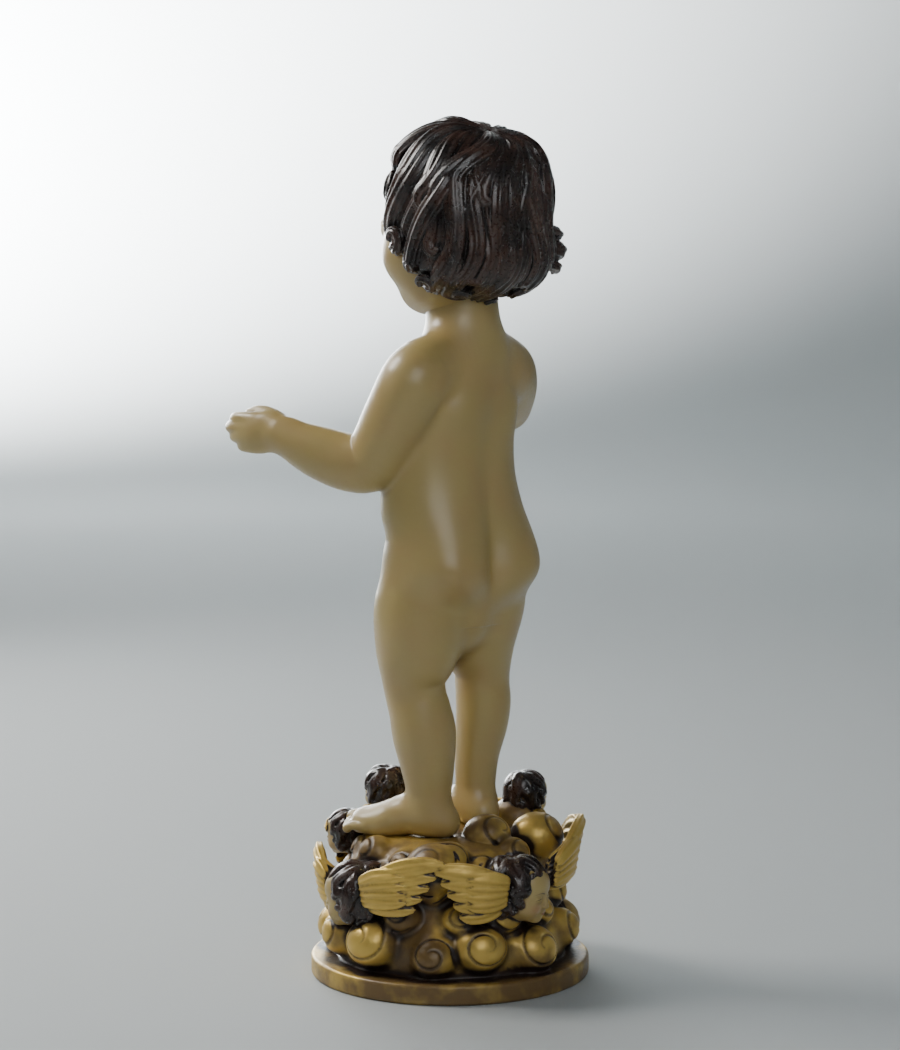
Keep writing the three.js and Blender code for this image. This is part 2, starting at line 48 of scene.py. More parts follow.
# Camera. It looks at the statue's back from behind its left shoulder, a little above the middle, from just
# under a metre away. The picture is 900 by 1050 pixels and shows about 366 mm of height at the statue.
VIEW_AZIMUTH = math.radians(140)
VIEW_RISE = math.radians(5.5)
VIEW_DISTANCE = 0.95
PICTURE_HEIGHT = 1050
METRES_PER_PIXEL = 0.0003485
SENSOR_SIDE = 36.0
AIM_HEIGHT = 0.158

aim = Vector((0, 0, AIM_HEIGHT))
toward_camera = Vector(
    (
        math.sin(VIEW_AZIMUTH) * math.cos(VIEW_RISE),
        -math.cos(VIEW_AZIMUTH) * math.cos(VIEW_RISE),
        math.sin(VIEW_RISE),
    )
)
lens = bpy.data.cameras.new("camera")
lens.sensor_width = SENSOR_SIDE
lens.lens = SENSOR_SIDE * VIEW_DISTANCE / (PICTURE_HEIGHT * METRES_PER_PIXEL)
camera = bpy.data.objects.new("camera", lens)
camera.location = aim + toward_camera * VIEW_DISTANCE
camera.rotation_euler = toward_camera.to_track_quat("Z", "Y").to_euler()
scene.collection.objects.link(camera)
scene.camera = camera

# Studio. The statue stands on a pale round floor that curves up into a wall on every side. A soft lamp stands
# to the left, above and behind, weak ones fill from the other sides, and one brightens the wall at the left.
FLOOR_RADIUS = 1.8
WALL_CURVE = 1.2
WALL_HEIGHT = 3.4
WALL_SIDES = 96
WALL_STEPS = 20
ROOM_STRENGTH = 0.06

picture_right = Vector((0, 0, 1)).cross(toward_camera).normalized()
ground_away = Vector((-toward_camera.x, -toward_camera.y, 0)).normalized()


def srgb(red, green, blue):
    """A colour given in 0 to 255 steps, as Blender's linear red, green, blue and alpha."""
    levels = [channel / 255 for channel in (red, green, blue)]
    linear = [((level + 0.055) / 1.055) ** 2.4 if level > 0.04 else level / 12.92 for level in levels]
    return (*linear, 1.0)


def new_material(name, colour, roughness, coat=0.0, coat_roughness=0.03):
    """A material with its Principled shader and a coat of varnish, ready for more nodes."""
    material = bpy.data.materials.new(name)
    material.use_nodes = True
    shader = material.node_tree.nodes["Principled BSDF"]
    shader.inputs["Base Color"].default_value = colour
    shader.inputs["Roughness"].default_value = roughness
    shader.inputs["Coat Weight"].default_value = coat
    shader.inputs["Coat Roughness"].default_value = coat_roughness
    return material, shader


def new_mesh_object(name, points, faces, material):
    """A smooth-shaded mesh object at the origin."""
    mesh = bpy.data.meshes.new(name)
    mesh.from_pydata([tuple(point) for point in points], [], faces)
    mesh.materials.append(material)
    mesh.shade_smooth()
    thing = bpy.data.objects.new(name, mesh)
    scene.collection.objects.link(thing)
    return thing


paper, _ = new_material("pale paper", srgb(184, 189, 190), 0.8)
wall_line = [(0.02, 0.0), (0.6, 0.0), (FLOOR_RADIUS, 0.0)]
for step in range(1, WALL_STEPS + 1):
    turn = math.radians(90 * step / WALL_STEPS)
    wall_line.append((FLOOR_RADIUS + WALL_CURVE * math.sin(turn), WALL_CURVE * (1 - math.cos(turn))))
wall_line.append((FLOOR_RADIUS + WALL_CURVE, WALL_HEIGHT))
wall_points = []
for radius, height in wall_line:
    for side in range(WALL_SIDES):
        turn = 2 * math.pi * side / WALL_SIDES
        wall_points.append((radius * math.cos(turn), radius * math.sin(turn), height))
wall_faces = [tuple(range(WALL_SIDES))]
for row in range(len(wall_line) - 1):
    for side in range(WALL_SIDES):
        after = (side + 1) % WALL_SIDES
        inner, outer = row * WALL_SIDES, (row + 1) * WALL_SIDES
        wall_faces.append((inner + side, outer + side, outer + after, inner + after))
paper_floor = new_mesh_object("paper_floor", wall_points, wall_faces, paper)


def soft_lamp(name, place, target, size, watts, colour, beam=180):
    """A square area lamp that faces a target, with a beam so many degrees wide."""
    light = bpy.data.lights.new(name, "AREA")
    light.size = size
    light.energy = watts
    light.spread = math.radians(beam)
    light.color = colour
    lamp = bpy.data.objects.new(name, light)
    lamp.location = place
    lamp.rotation_euler = (place - target).to_track_quat("Z", "Y").to_euler()
    scene.collection.objects.link(lamp)


upward = Vector((0, 0, 1))
key_place = aim - picture_right * 0.62 - toward_camera * 0.16 + upward * 0.62
fill_place = aim + picture_right * 0.12 + toward_camera * 0.8 + upward * 0.35
front_place = aim - picture_right * 0.5 - toward_camera * 0.6 + upward * 0.35
wall_spot = aim + ground_away * 2.8 - picture_right * 0.8 + upward * 0.35
wall_place = wall_spot - ground_away * 1.1 - picture_right * 0.35 + upward * 0.1
soft_lamp("key", key_place, aim, size=0.34, watts=6.4, colour=(1.0, 0.98, 0.94))
soft_lamp("fill", fill_place, aim, size=0.5, watts=2.1, colour=(0.97, 0.98, 1.0))
soft_lamp("front", front_place, aim, size=0.5, watts=3, colour=(1.0, 0.99, 0.97))
soft_lamp("wall", wall_place, wall_spot, size=0.5, watts=175, colour=(1.0, 1.0, 1.0), beam=95)

room = bpy.data.worlds.new("room")
room.use_nodes = True
glow = room.node_tree.nodes["Background"]
glow.inputs["Color"].default_value = srgb(225, 232, 236)
glow.inputs["Strength"].default_value = ROOM_STRENGTH
scene.world = room

# The child's body. One casting from the soles to the neck, in satin flesh paint. It is sculpted in clay on a
# scale where the child stands 241 units tall, and the clay is then cast as a mesh at its real size.
CHILD_UNITS = 241.0
CHILD_HEIGHT = 0.25
UNIT = CHILD_HEIGHT / CHILD_UNITS
SOLE_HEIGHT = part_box("child_figure")[0][2]
BODY_CELL = 0.36
FACE_SHARE = 1.0
BODY_FACES = 170000


class Form:
    """A shape as a box that holds it and a function that gives the distance to it, negative inside."""

    def __init__(self, low, high, distance):
        self.low = np.array(low, float)
        self.high = np.array(high, float)
        self.distance = distance


class Clay:
    """A block of space as a grid of distances to the clay's surface. Away from every shape it holds EMPTY."""

    REACH = 3.0
    EMPTY = 12.0

    def __init__(self, low, high, cell):
        self.low = np.array(low, np.float32)
        self.high = np.array(high, np.float32)
        self.cell = cell
        size = np.ceil((self.high - self.low) / cell).astype(int) + 1
        self.field = np.full(size, self.EMPTY, np.float32)

    def patch(self, form, reach):
        """The part of the grid that a shape can change: its slices, and its x, y and z."""
        start = np.floor((form.low - reach - self.low) / self.cell).astype(int)
        stop = np.ceil((form.high + reach - self.low) / self.cell).astype(int) + 1
        start, stop = np.clip(start, 0, self.field.shape), np.clip(stop, 0, self.field.shape)
        slices = tuple(slice(a, b) for a, b in zip(start, stop))
        axes = [(self.low[i] + self.cell * np.arange(start[i], stop[i])).astype(np.float32) for i in range(3)]
        return slices, axes[0][:, None, None], axes[1][None, :, None], axes[2][None, None, :]

    def merge(self, form, blend, sign):
        slices, x, y, z = self.patch(form, max(self.REACH, blend))
        if min(s.stop - s.start for s in slices) <= 0:
            return
        old = sign * self.field[slices]
        new = np.broadcast_to(form.distance(x, y, z), old.shape).astype(np.float32)
        self.field[slices] = sign * smooth_least(old, new, blend)

    def add(self, form, blend=0.0):
        """Joins a shape to the clay, with a fillet as wide as blend."""
        self.merge(form, blend, 1)

    def carve(self, form, blend=0.0):
        """Cuts a shape out of the clay, with a rounded edge as wide as blend."""
        self.merge(form, blend, -1)

    def at(self, points):
        """The distance at each point, read between the grid's cells."""
        place = np.clip((points - self.low) / self.cell, 0, np.array(self.field.shape) - 1.001)
        corner = place.astype(int)
        share = (place - corner).astype(np.float32)
        total = np.zeros(len(points), np.float32)
        for step in np.ndindex(2, 2, 2):
            weight = np.prod(np.where(step, share, 1 - share), axis=1)
            total += weight * self.field[tuple((corner + step).T)]
        return total

    def form(self, pose, scale, grow=0.0):
        """The clay as a shape to press into other clay, placed by a pose, scaled and grown."""
        ends = (self.low, self.high)
        corners = [
            pose @ (Vector((ends[i][0], ends[j][1], ends[k][2])) * scale) for i, j, k in np.ndindex(2, 2, 2)
        ]
        back = np.array(pose.inverted())

        def distance(x, y, z):
            result = np.full((x.size, y.size, z.size), self.EMPTY, np.float32)
            for i, along in enumerate(x.ravel()):
                flat = [axis.ravel() for axis in np.broadcast_arrays(along, y[0], z[0])]
                points = np.stack([*flat, np.ones(flat[0].size)])
                local = (back[:3] @ points).T / scale
                inside = np.all((local > self.low) & (local < self.high), axis=1)
                level = np.full(len(local), self.EMPTY, np.float32)
                level[inside] = self.at(local[inside]) * scale - grow
                result[i] = level.reshape(y.size, z.size)
            return result

        return Form(np.min(corners, axis=0), np.max(corners, axis=0), distance)


def smooth_least(a, b, blend):
    """The smaller of two distances, rounded where they are within blend of each other."""
    if blend <= 0:
        return np.minimum(a, b)
    overlap = np.maximum(blend - np.abs(a - b), 0) / blend
    return np.minimum(a, b) - overlap * overlap * (blend / 4)


def smooth_step(value, low, high):
    share = np.clip((value - low) / (high - low), 0, 1)
    return share * share * (3 - 2 * share)


def hump(value, middle, spread):
    """A smooth bump that is 1 at the middle."""
    return np.exp(-(((value - middle) / spread) ** 2))


def oval_distance(parts, radii):
    """About how far a point is outside an oval, from its parts along the oval's own axes."""
    near = np.sqrt(sum((part / radius) ** 2 for part, radius in zip(parts, radii)))
    steep = np.sqrt(sum((part / radius**2) ** 2 for part, radius in zip(parts, radii)))
    return near * (near - 1) / np.maximum(steep, 1e-6)


def egg(centre, radii, turn=(0, 0, 0)):
    """An ellipsoid, turned by angles in degrees about its own middle."""
    spin = np.array(Euler([math.radians(angle) for angle in turn]).to_matrix().transposed())

    def distance(x, y, z):
        parts = [x - centre[0], y - centre[1], z - centre[2]]
        if any(turn):
            parts = [sum(spin[row][k] * parts[k] for k in range(3)) for row in range(3)]
        return oval_distance(parts, radii)

    centre = np.array(centre, float)
    reach = np.full(3, max(radii)) if any(turn) else np.array(radii, float)
    return Form(centre - reach, centre + reach, distance)


def spline(stations, steps):
    """Points along a smooth curve through the stations, each with all of a station's numbers."""
    knots = np.array(stations, float)
    knots = np.vstack([2 * knots[0] - knots[1], knots, 2 * knots[-1] - knots[-2]])
    line = []
    for i in range(1, len(knots) - 2):
        before, start, end, after = knots[i - 1 : i + 3]
        for t in np.linspace(0, 1, steps, endpoint=False):
            bend = 2 * before - 5 * start + 4 * end - after
            turn = 3 * start - before - 3 * end + after
            line.append(0.5 * (2 * start + (end - before) * t + bend * t**2 + turn * t**3))
    line.append(knots[-2])
    return np.array(line)


def limb(stations, flat=1.0, side=None, steps=6, strands=0, groove=0.0, reach=Clay.REACH):
    """A round-ended limb through stations [x, y, z, radius]. A flat one is thinner along `side`, and one of
    strands has grooves along it. `reach` is how far around it its distance is known."""
    line = spline(stations, steps)
    place, girth = line[:, :3], line[:, 3]

    def segment(x, y, z, i):
        a, along = place[i], place[i + 1] - place[i]
        length = float(along @ along)
        t = ((x - a[0]) * along[0] + (y - a[1]) * along[1] + (z - a[2]) * along[2]) / length
        t = np.clip(t, 0, 1)
        dx, dy, dz = x - a[0] - t * along[0], y - a[1] - t * along[1], z - a[2] - t * along[2]
        radius = girth[i] + t * (girth[i + 1] - girth[i])
        away = dx * dx + dy * dy + dz * dz
        if side is None:
            return np.sqrt(away) - radius
        thin = np.array(side(a + along / 2) if callable(side) else side, float)
        thin = thin - along * (thin @ along) / length
        thin = thin / np.linalg.norm(thin)
        high_part = dx * thin[0] + dy * thin[1] + dz * thin[2]
        wide_part = np.sqrt(np.maximum(away - high_part**2, 0))
        result = oval_distance((wide_part, high_part), (radius, radius * flat))
        if strands:
            across = np.cross(along / math.sqrt(length), thin)
            angle = np.arctan2(high_part / flat, dx * across[0] + dy * across[1] + dz * across[2])
            result = result + groove * np.cos(strands * angle)
        return result

    def distance(x, y, z):
        shape = (x.size, y.size, z.size)
        total = np.full(shape, Clay.EMPTY, np.float32)
        for i in range(len(place) - 1):
            margin = max(girth[i], girth[i + 1]) + reach
            low = np.minimum(place[i], place[i + 1]) - margin
            high = np.maximum(place[i], place[i + 1]) + margin
            spans = zip((x, y, z), low, high)
            cut = tuple(slice(*np.searchsorted(axis.ravel(), (start, stop))) for axis, start, stop in spans)
            if min(s.stop - s.start for s in cut) <= 0:
                continue
            piece = segment(x[cut[0]], y[:, cut[1]], z[:, :, cut[2]], i)
            total[cut] = np.minimum(total[cut], piece)
        return total

    return Form((place - girth[:, None]).min(0), (place + girth[:, None]).max(0), distance)


def trunk(stations, relief):
    """An upright body through stations [x, y, z, half width, half depth, turn in degrees]. `relief` adds to
    its radius by angle and height."""
    line = spline(stations, 12)
    line = line[np.argsort(line[:, 2])]
    bottom, top = line[0, 2], line[-1, 2]

    def distance(x, y, z):
        x0, y0, wide, deep, turn = [np.interp(z, line[:, 2], line[:, k]) for k in (0, 1, 3, 4, 5)]
        turn = np.radians(turn)
        dx, dy = x - x0, y - y0
        across = dx * np.cos(turn) + dy * np.sin(turn)
        through = dy * np.cos(turn) - dx * np.sin(turn)
        angle = np.arctan2(through, across)
        ring = wide * deep / np.sqrt((deep * np.cos(angle)) ** 2 + (wide * np.sin(angle)) ** 2)
        outside = np.hypot(dx, dy) - ring - relief(angle, z)
        return np.maximum(outside, np.maximum(bottom - z, z - top))

    reach = line[:, 3:5].max() + 8
    low = [line[:, 0].min() - reach, line[:, 1].min() - reach, bottom]
    high = [line[:, 0].max() + reach, line[:, 1].max() + reach, top]
    return Form(low, high, distance)


def back_relief(angle, height):
    """The furrow of the spine, the shoulder blades and the soft seat. The front is plain and smooth."""
    from_spine = np.abs(np.arctan2(np.sin(angle - math.pi / 2), np.cos(angle - math.pi / 2)))
    from_front = np.pi - from_spine
    seat_height = np.where(height > 92, hump(height, 92, 15), hump(height, 92, 11))
    seat = 5.6 * seat_height * (hump(from_spine, 0.72, 0.52) - 0.5 * hump(from_spine, 0, 0.26))
    spine = -1.6 * hump(from_spine, 0, 0.36) * hump(height, 128, 22)
    blades = 1.3 * hump(from_spine, 0.75, 0.36) * hump(height, 143, 9)
    belly = 2.0 * hump(from_front, 0, 0.7) * hump(height, 110, 14)
    waist = -0.9 * hump(height, 101, 3.5) * hump(from_front, 0.9, 0.9)
    return seat + spine + blades + belly + waist


TRUNK = [
    [0.2, 4.8, 75, 12, 9, 0],
    [0.4, 5, 80, 20, 15, 0],
    [0.6, 5, 85, 24, 18.4, 0],
    [0.8, 4.8, 91, 25.6, 19.6, 0],
    [0.5, 3.6, 101, 26.2, 19.4, 1],
    [1, 1.8, 111, 26.2, 19.6, 3],
    [1, 1, 122, 25, 18.8, 6],
    [0.4, 1.4, 134, 23.8, 18, 9],
    [-0.6, 3, 146, 23, 16.8, 12],
    [-1.2, 5, 155, 19.5, 14, 12],
    [-1.5, 6.2, 162.5, 14, 12.8, 12],
    [-1.2, 5.6, 170, 12.4, 12.6, 12],
    [-0.6, 5, 182, 12, 12, 12],
    [0, 4.8, 196, 11, 11, 12],
]
SHOULDERS = [
    [-20, 2.4, 157, 7.6],
    [-11.5, 4.6, 160.6, 9.2],
    [-1.5, 6.2, 162.2, 10.2],
    [10, 7.8, 160.6, 9.4],
    [18, 8.8, 157.4, 8],
]
LEFT_LEG = [
    [12, 4.6, 96, 13.4],
    [13.6, 3.4, 86, 14.4],
    [15, 2.4, 77, 15.4],
    [15.4, 1.8, 65, 14.2],
    [16.2, 0.4, 55.5, 10.9],
    [15.2, 0.4, 48, 10.2],
    [14.4, 1.8, 42, 10.4],
    [13.6, 2.8, 35, 10.7],
    [12.6, 3.2, 25, 9.1],
    [12, 3.4, 16, 7.6],
    [11.8, 4, 8, 6.5],
]
RIGHT_LEG = [
    [-11.6, 4.6, 96, 13],
    [-11.9, 4, 86, 14],
    [-11.6, 3, 77, 14.4],
    [-11.2, 1.3, 65, 12.7],
    [-12.9, 1.4, 55.5, 9.8],
    [-13.6, 0.9, 49.5, 9.3],
    [-13.6, 1.4, 43, 9.4],
    [-12.8, 1.6, 36, 8.9],
    [-11.4, 0.8, 25.5, 7.6],
    [-11, 0.4, 16, 6.9],
    [-10.8, 0.8, 8, 6.3],
]
LEFT_ARM = [
    [18.5, 8.6, 156.5, 11],
    [23.6, 9.4, 152.6, 11.3],
    [26, 3.4, 141, 11],
    [28.6, -4.6, 127.8, 10.2],
    [33, -11.2, 126, 9.7],
    [39, -20, 129, 8.8],
    [44, -27, 132.6, 7],
    [46.9, -30.9, 135, 5.5],
]
RIGHT_ARM = [
    [-18, 3.6, 157, 10.4],
    [-23, 1, 155, 10.8],
    [-30.5, -6, 150.4, 10.4],
    [-38, -15, 145, 9.7],
    [-42.6, -21.5, 141.8, 8.8],
    [-42.4, -27.5, 147.6, 8.6],
    [-41, -32, 155, 8.1],
    [-39.4, -36, 162.5, 6.6],
    [-38.8, -38, 167.5, 5.5],
]

body = Clay((-58, -62, -6), (62, 44, 206), BODY_CELL)
body.add(trunk(TRUNK, back_relief))
body.add(limb(SHOULDERS, reach=7), blend=7)
body.add(limb(LEFT_LEG, reach=6), blend=6)
body.add(limb(RIGHT_LEG, reach=6), blend=6)
between_thighs = egg((1.2, 4.4, 78), (8, 14.5, 14))
body.add(between_thighs, blend=7)
body.add(limb(LEFT_ARM, reach=5), blend=3)
body.add(limb(RIGHT_ARM, reach=5), blend=5)


def finger(across, knuckle, lengths, bend, radius):
    """Stations [along, across, through, radius] of a finger that turns towards the palm at each joint."""
    stations = [[knuckle - 3, across * 0.9, 0, radius * 0.95], [knuckle, across, 0, radius]]
    along, through, angle = knuckle, 0.0, bend * 0.4
    for i, length in enumerate(lengths):
        along += length * math.cos(angle)
        through += length * math.sin(angle)
        angle += bend
        stations.append([along, across * (1 - 0.06 * i), through, radius * (1 - 0.07 * (i + 1))])
    return stations


HAND_SIZE = 0.92


def hand(wrist, reach, spread, curl, fingers, thumb):
    """A hand at the wrist. It reaches forward, spreads from little finger to thumb, and curls to its palm."""
    reach, spread, curl, wrist = [np.array(axis, float) for axis in (reach, spread, curl, wrist)]

    def place(station):
        along, across, through, radius = station
        return [*(wrist + HAND_SIZE * (reach * along + spread * across + curl * through)), radius]

    palm = [[-2, 0, 0, 5.2], [4, 0.2, 0, 6.2], [9, 0.2, 0.2, 6.9], [12.5, 0, 0.6, 6.2]]
    body.add(limb([place(s) for s in palm], flat=0.62, side=curl), blend=3)
    for stations in fingers:
        body.add(limb([place(s) for s in stations], steps=5), blend=0.9)
    body.add(limb([place(s) for s in thumb], steps=5), blend=1.6)
    body.add(egg(place([5, 3.6, 1.6, 0])[:3], (3.6, 3.6, 3.6)), blend=3)


def unit_vector(*parts):
    return np.array(parts, float) / np.linalg.norm(parts)


left_reach = unit_vector(0.47, -0.88, 0.02)
left_spread = np.array([0.0, 0.0, 1.0])
hand(
    wrist=(46.9, -30.9, 135),
    reach=left_reach,
    spread=left_spread,
    curl=-np.cross(left_spread, left_reach),
    fingers=[
        finger(5, 12, [6, 4.5, 3.5], 0.576, 2.4),
        finger(1.7, 12.5, [6.8, 5, 3.8], 0.54, 2.5),
        finger(-1.7, 12, [6.4, 4.8, 3.6], 0.612, 2.4),
        finger(-4.9, 10.8, [5.4, 4, 3.2], 0.72, 2.2),
    ],
    thumb=[[3, 4.6, 2, 3.2], [8, 6.6, 4, 2.9], [12.5, 7, 6, 2.6], [16, 6.2, 7.4, 2.3]],
)
right_reach = unit_vector(0.08, -0.2, 0.97)
right_spread = unit_vector(*(np.array([1.0, 0, 0]) - right_reach * right_reach[0]))
hand(
    wrist=(-38.8, -38, 167.5),
    reach=right_reach,
    spread=right_spread,
    curl=-np.cross(right_spread, right_reach) * np.sign(np.cross(right_spread, right_reach)[1]),
    fingers=[
        finger(4.9, 12, [6, 4.6, 3.6], 0.1, 2.4),
        finger(1.6, 12.5, [6.8, 5, 3.8], 0.12, 2.5),
        finger(-1.8, 12, [5.6, 4.6, 3.2], 1.15, 2.4),
        finger(-5, 10.8, [4.8, 3.8, 3], 1.2, 2.2),
    ],
    thumb=[[3, 4.4, 1.6, 3.2], [7.5, 7.4, 3.4, 2.9], [11.5, 8.8, 5, 2.6], [15, 9, 6.2, 2.3]],
)

# Feet, toes and flat soles belong to the same casting. Each foot runs through stations from heel to toes, as
# [along, across, height, radius].
FOOT = [
    [-5.5, 0, 5.6, 5.5],
    [-0.5, 0, 7.2, 6.8],
    [7, 0, 7.2, 7],
    [14, 0, 5, 6.4],
    [20.5, 0, 3.6, 5.2],
    [24, 0, 3.2, 4.4],
]

# Each toe: its place across the foot, its length and its radius.
TOES = [[-5.2, 6.2, 2.9], [-1.5, 5.6, 2.05], [1.3, 4.9, 1.9], [3.9, 4.1, 1.75], [6.1, 3.2, 1.6]]


def foot(ankle, toe_out, big_toe_side):
    """A foot that points forward from the ankle, turned out, with its toes from the big one outwards."""
    turn = math.radians(toe_out)
    ahead = np.array([math.sin(turn), -math.cos(turn), 0])
    across = np.array([math.cos(turn), math.sin(turn), 0]) * big_toe_side
    middle = np.array([ankle[0], ankle[1], 0.0])

    def place(along, sideways, height, radius):
        return [*(middle + ahead * along + across * sideways + np.array([0, 0, height])), radius]

    body.add(limb([place(*s) for s in FOOT], reach=4), blend=4)
    ball = [(17, -2, 3.6, 4.6), (23, -1.2, 3.4, 4), (23, 2.6, 3, 3.4), (16, 3.4, 3.2, 3.8)]
    body.add(limb([place(*s) for s in ball]), blend=3)
    for sideways, length, radius in TOES:
        toe = [
            place(21, sideways * 0.95, radius + 0.8, radius * 0.9),
            place(24.5 + length * 0.5, sideways * 1.03, radius + 0.9, radius * 0.86),
            place(24.5 + length, sideways * 1.03, radius, radius),
        ]
        body.add(limb(toe, steps=4), blend=0.8)


foot((12, 3.4), 25, 1)
foot((-11, 0.6), -14, -1)
body.carve(Form((-99, -99, -30), (99, 99, 0), lambda x, y, z: z + 0 * x + 0 * y))


def cast(clay, name, faces, material):
    """Pours the clay as a mesh of about so many triangles, still on the clay's scale."""
    grid = openvdb.FloatGrid(Clay.EMPTY)
    grid.copyFromArray(clay.field)
    points, triangles, quads = grid.convertToPolygons(0.0, 0.0)
    points = clay.low + points * clay.cell
    triangles = triangles.astype(np.int64).reshape(-1, 3)
    quads = quads.astype(np.int64).reshape(-1, 4)
    triangles = np.vstack([triangles, quads[:, [0, 1, 2]], quads[:, [0, 2, 3]]])
    a, b, c = [points[triangles[:, k]] for k in range(3)]
    if np.einsum("ij,ij->i", a, np.cross(b, c)).sum() < 0:
        triangles = triangles[:, ::-1]
    mesh = bpy.data.meshes.new(name)
    mesh.vertices.add(len(points))
    mesh.vertices.foreach_set("co", points.astype(np.float32).ravel())
    mesh.loops.add(triangles.size)
    mesh.loops.foreach_set("vertex_index", triangles.ravel().astype(np.int32))
    mesh.polygons.add(len(triangles))
    mesh.polygons.foreach_set("loop_start", np.arange(0, triangles.size, 3, dtype=np.int32))
    mesh.update(calc_edges=True)
    rough = bpy.data.objects.new(name + "_rough", mesh)
    scene.collection.objects.link(rough)
    thin = rough.modifiers.new("thin", "DECIMATE")
    thin.ratio = min(1.0, faces * FACE_SHARE / len(triangles))
    bpy.context.view_layer.update()
    cast_mesh = bpy.data.meshes.new_from_object(rough.evaluated_get(bpy.context.evaluated_depsgraph_get()))
    bpy.data.objects.remove(rough)
    bpy.data.meshes.remove(mesh)
    cast_mesh.name = name
    cast_mesh.shade_smooth()
    cast_mesh.materials.append(material)
    thing = bpy.data.objects.new(name, cast_mesh)
    scene.collection.objects.link(thing)
    return thing


def mark(thing, name, values):
    """Stores one number a point on the mesh, for its material to read."""
    attribute = thing.data.attributes.new(name, "FLOAT", "POINT")
    attribute.data.foreach_set("value", np.ascontiguousarray(values, np.float32))


def mark_recesses(thing, clay, probes=(0.5, 1.3, 3.0)):
    """Marks how far each point lies in a crease: 0 in the open and 1 deep in a groove. It looks how near the
    clay is at each of the probes' distances out from the surface."""
    # The paints read this mark to paint shade into the creases.
    count = len(thing.data.vertices)
    points, normals = np.empty(count * 3, np.float32), np.empty(count * 3, np.float32)
    thing.data.vertices.foreach_get("co", points)
    thing.data.vertices.foreach_get("normal", normals)
    points, normals = points.reshape(-1, 3), normals.reshape(-1, 3)
    openness = sum(np.minimum(clay.at(points + normals * probe) / probe, 1) for probe in probes)
    mark(thing, "recess", np.clip(1 - openness / len(probes), 0, 1))


def finish_piece(thing, pose, slot, *nodes):
    """Takes a casting to its real size and place, and joins it to the frame."""
    thing.data.transform(pose)
    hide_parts(*nodes)
    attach(thing, "root")


def node(tree, kind, **inputs):
    """A new node in a material's tree or a group, with its inputs set by name: a value, or another output."""
    made = tree.nodes.new(kind)
    for name, value in inputs.items():
        connect(tree, value, made.inputs[name])
    return made


def connect(tree, value, socket):
    if isinstance(value, bpy.types.NodeSocket):
        tree.links.new(value, socket)
    else:
        socket.default_value = value


def math_node(tree, operation, *values):
    made = tree.nodes.new("ShaderNodeMath")
    made.operation = operation
    for socket, value in zip(made.inputs, values):
        connect(tree, value, socket)
    return made.outputs[0]


def mixed(tree, share, first, second):
    """Two colours mixed by a share."""
    made = tree.nodes.new("ShaderNodeMix")
    made.data_type = "RGBA"
    for name, value in (("Factor_Float", share), ("A_Color", first), ("B_Color", second)):
        connect(tree, value, next(s for s in made.inputs if s.identifier == name))
    return next(s for s in made.outputs if s.identifier == "Result_Color")


def attribute(tree, name, output="Fac"):
    made = tree.nodes.new("ShaderNodeAttribute")
    made.attribute_name = name
    return made.outputs[output]


def ramp(tree, value, low, high, start=0.0, end=1.0):
    """Goes smoothly from start, where the value is below low, to end, where it is above high."""
    made = node(tree, "ShaderNodeMapRange")
    made.interpolation_type = "SMOOTHSTEP"
    numbers = {"Value": value, "From Min": low, "From Max": high, "To Min": start, "To Max": end}
    for name, number in numbers.items():
        connect(tree, number, made.inputs[name])
    return made.outputs["Result"]


def noise(tree, scale, detail):
    """Noise that stays in place on the object."""
    place = node(tree, "ShaderNodeTexCoord").outputs["Object"]
    return node(tree, "ShaderNodeTexNoise", Vector=place, Scale=scale, Detail=detail).outputs["Fac"]


def new_group(name, inputs, outputs):
    """A shader node group with named sockets, with what comes in and what goes out."""
    group = bpy.data.node_groups.new(name, "ShaderNodeTree")
    for label, start in inputs.items():
        kind = "NodeSocketVector" if isinstance(start, tuple) else "NodeSocketFloat"
        group.interface.new_socket(label, in_out="INPUT", socket_type=kind).default_value = start
    for label, kind in outputs.items():
        group.interface.new_socket(label, in_out="OUTPUT", socket_type=kind)
    return group, group.nodes.new("NodeGroupInput").outputs, group.nodes.new("NodeGroupOutput").inputs


def use_group(tree, group, **inputs):
    """Places a group in a material with its own values, and gives what it puts out."""
    made = tree.nodes.new("ShaderNodeGroup")
    made.node_tree = group
    for name, value in inputs.items():
        connect(tree, value, made.inputs[name])
    return made.outputs


# Three effects that all the paints share. Mottle is the soft change of tone of hand painting, crease is
# painted shade that darkens the hollows, and on the gilding also the dark ground left there, and grain is the
# fine tooth of the dried paint.
mottle, given, result = new_group(
    "mottle", {"Scale": 50.0, "Low": 0.35, "High": 0.7, "Amount": 1.0}, {"Mask": "NodeSocketFloat"}
)
spots = ramp(mottle, noise(mottle, given["Scale"], 4.0), given["Low"], given["High"], 0.0, given["Amount"])
mottle.links.new(spots, result["Mask"])

# The crease mask: painted shade in the hollows, read from the recess mark with a little unevenness.
crease, given, result = new_group(
    "crease",
    {"Scale": 150.0, "Start": 0.1, "End": 0.7, "Depth": 1.0, "Unevenness": 0.3},
    {"Mask": "NodeSocketFloat"},
)
uneven = math_node(crease, "SUBTRACT", noise(crease, given["Scale"], 4.0), 0.5)
uneven = math_node(crease, "MULTIPLY", uneven, given["Unevenness"])
hollow = math_node(crease, "ADD", attribute(crease, "recess"), uneven)
crease.links.new(ramp(crease, hollow, given["Start"], given["End"], 0.0, given["Depth"]), result["Mask"])

grain, given, result = new_group(
    "grain",
    {"Scale": 900.0, "Smooth": 0.35, "Rough": 0.45, "Strength": 0.06},
    {"Roughness": "NodeSocketFloat", "Normal": "NodeSocketVector"},
)
tooth = noise(grain, given["Scale"], 3.0)
grain.links.new(ramp(grain, tooth, 0.25, 0.75, given["Smooth"], given["Rough"]), result["Roughness"])
bump = node(grain, "ShaderNodeBump", Height=tooth, Strength=given["Strength"], Distance=0.0004)
grain.links.new(bump.outputs["Normal"], result["Normal"])


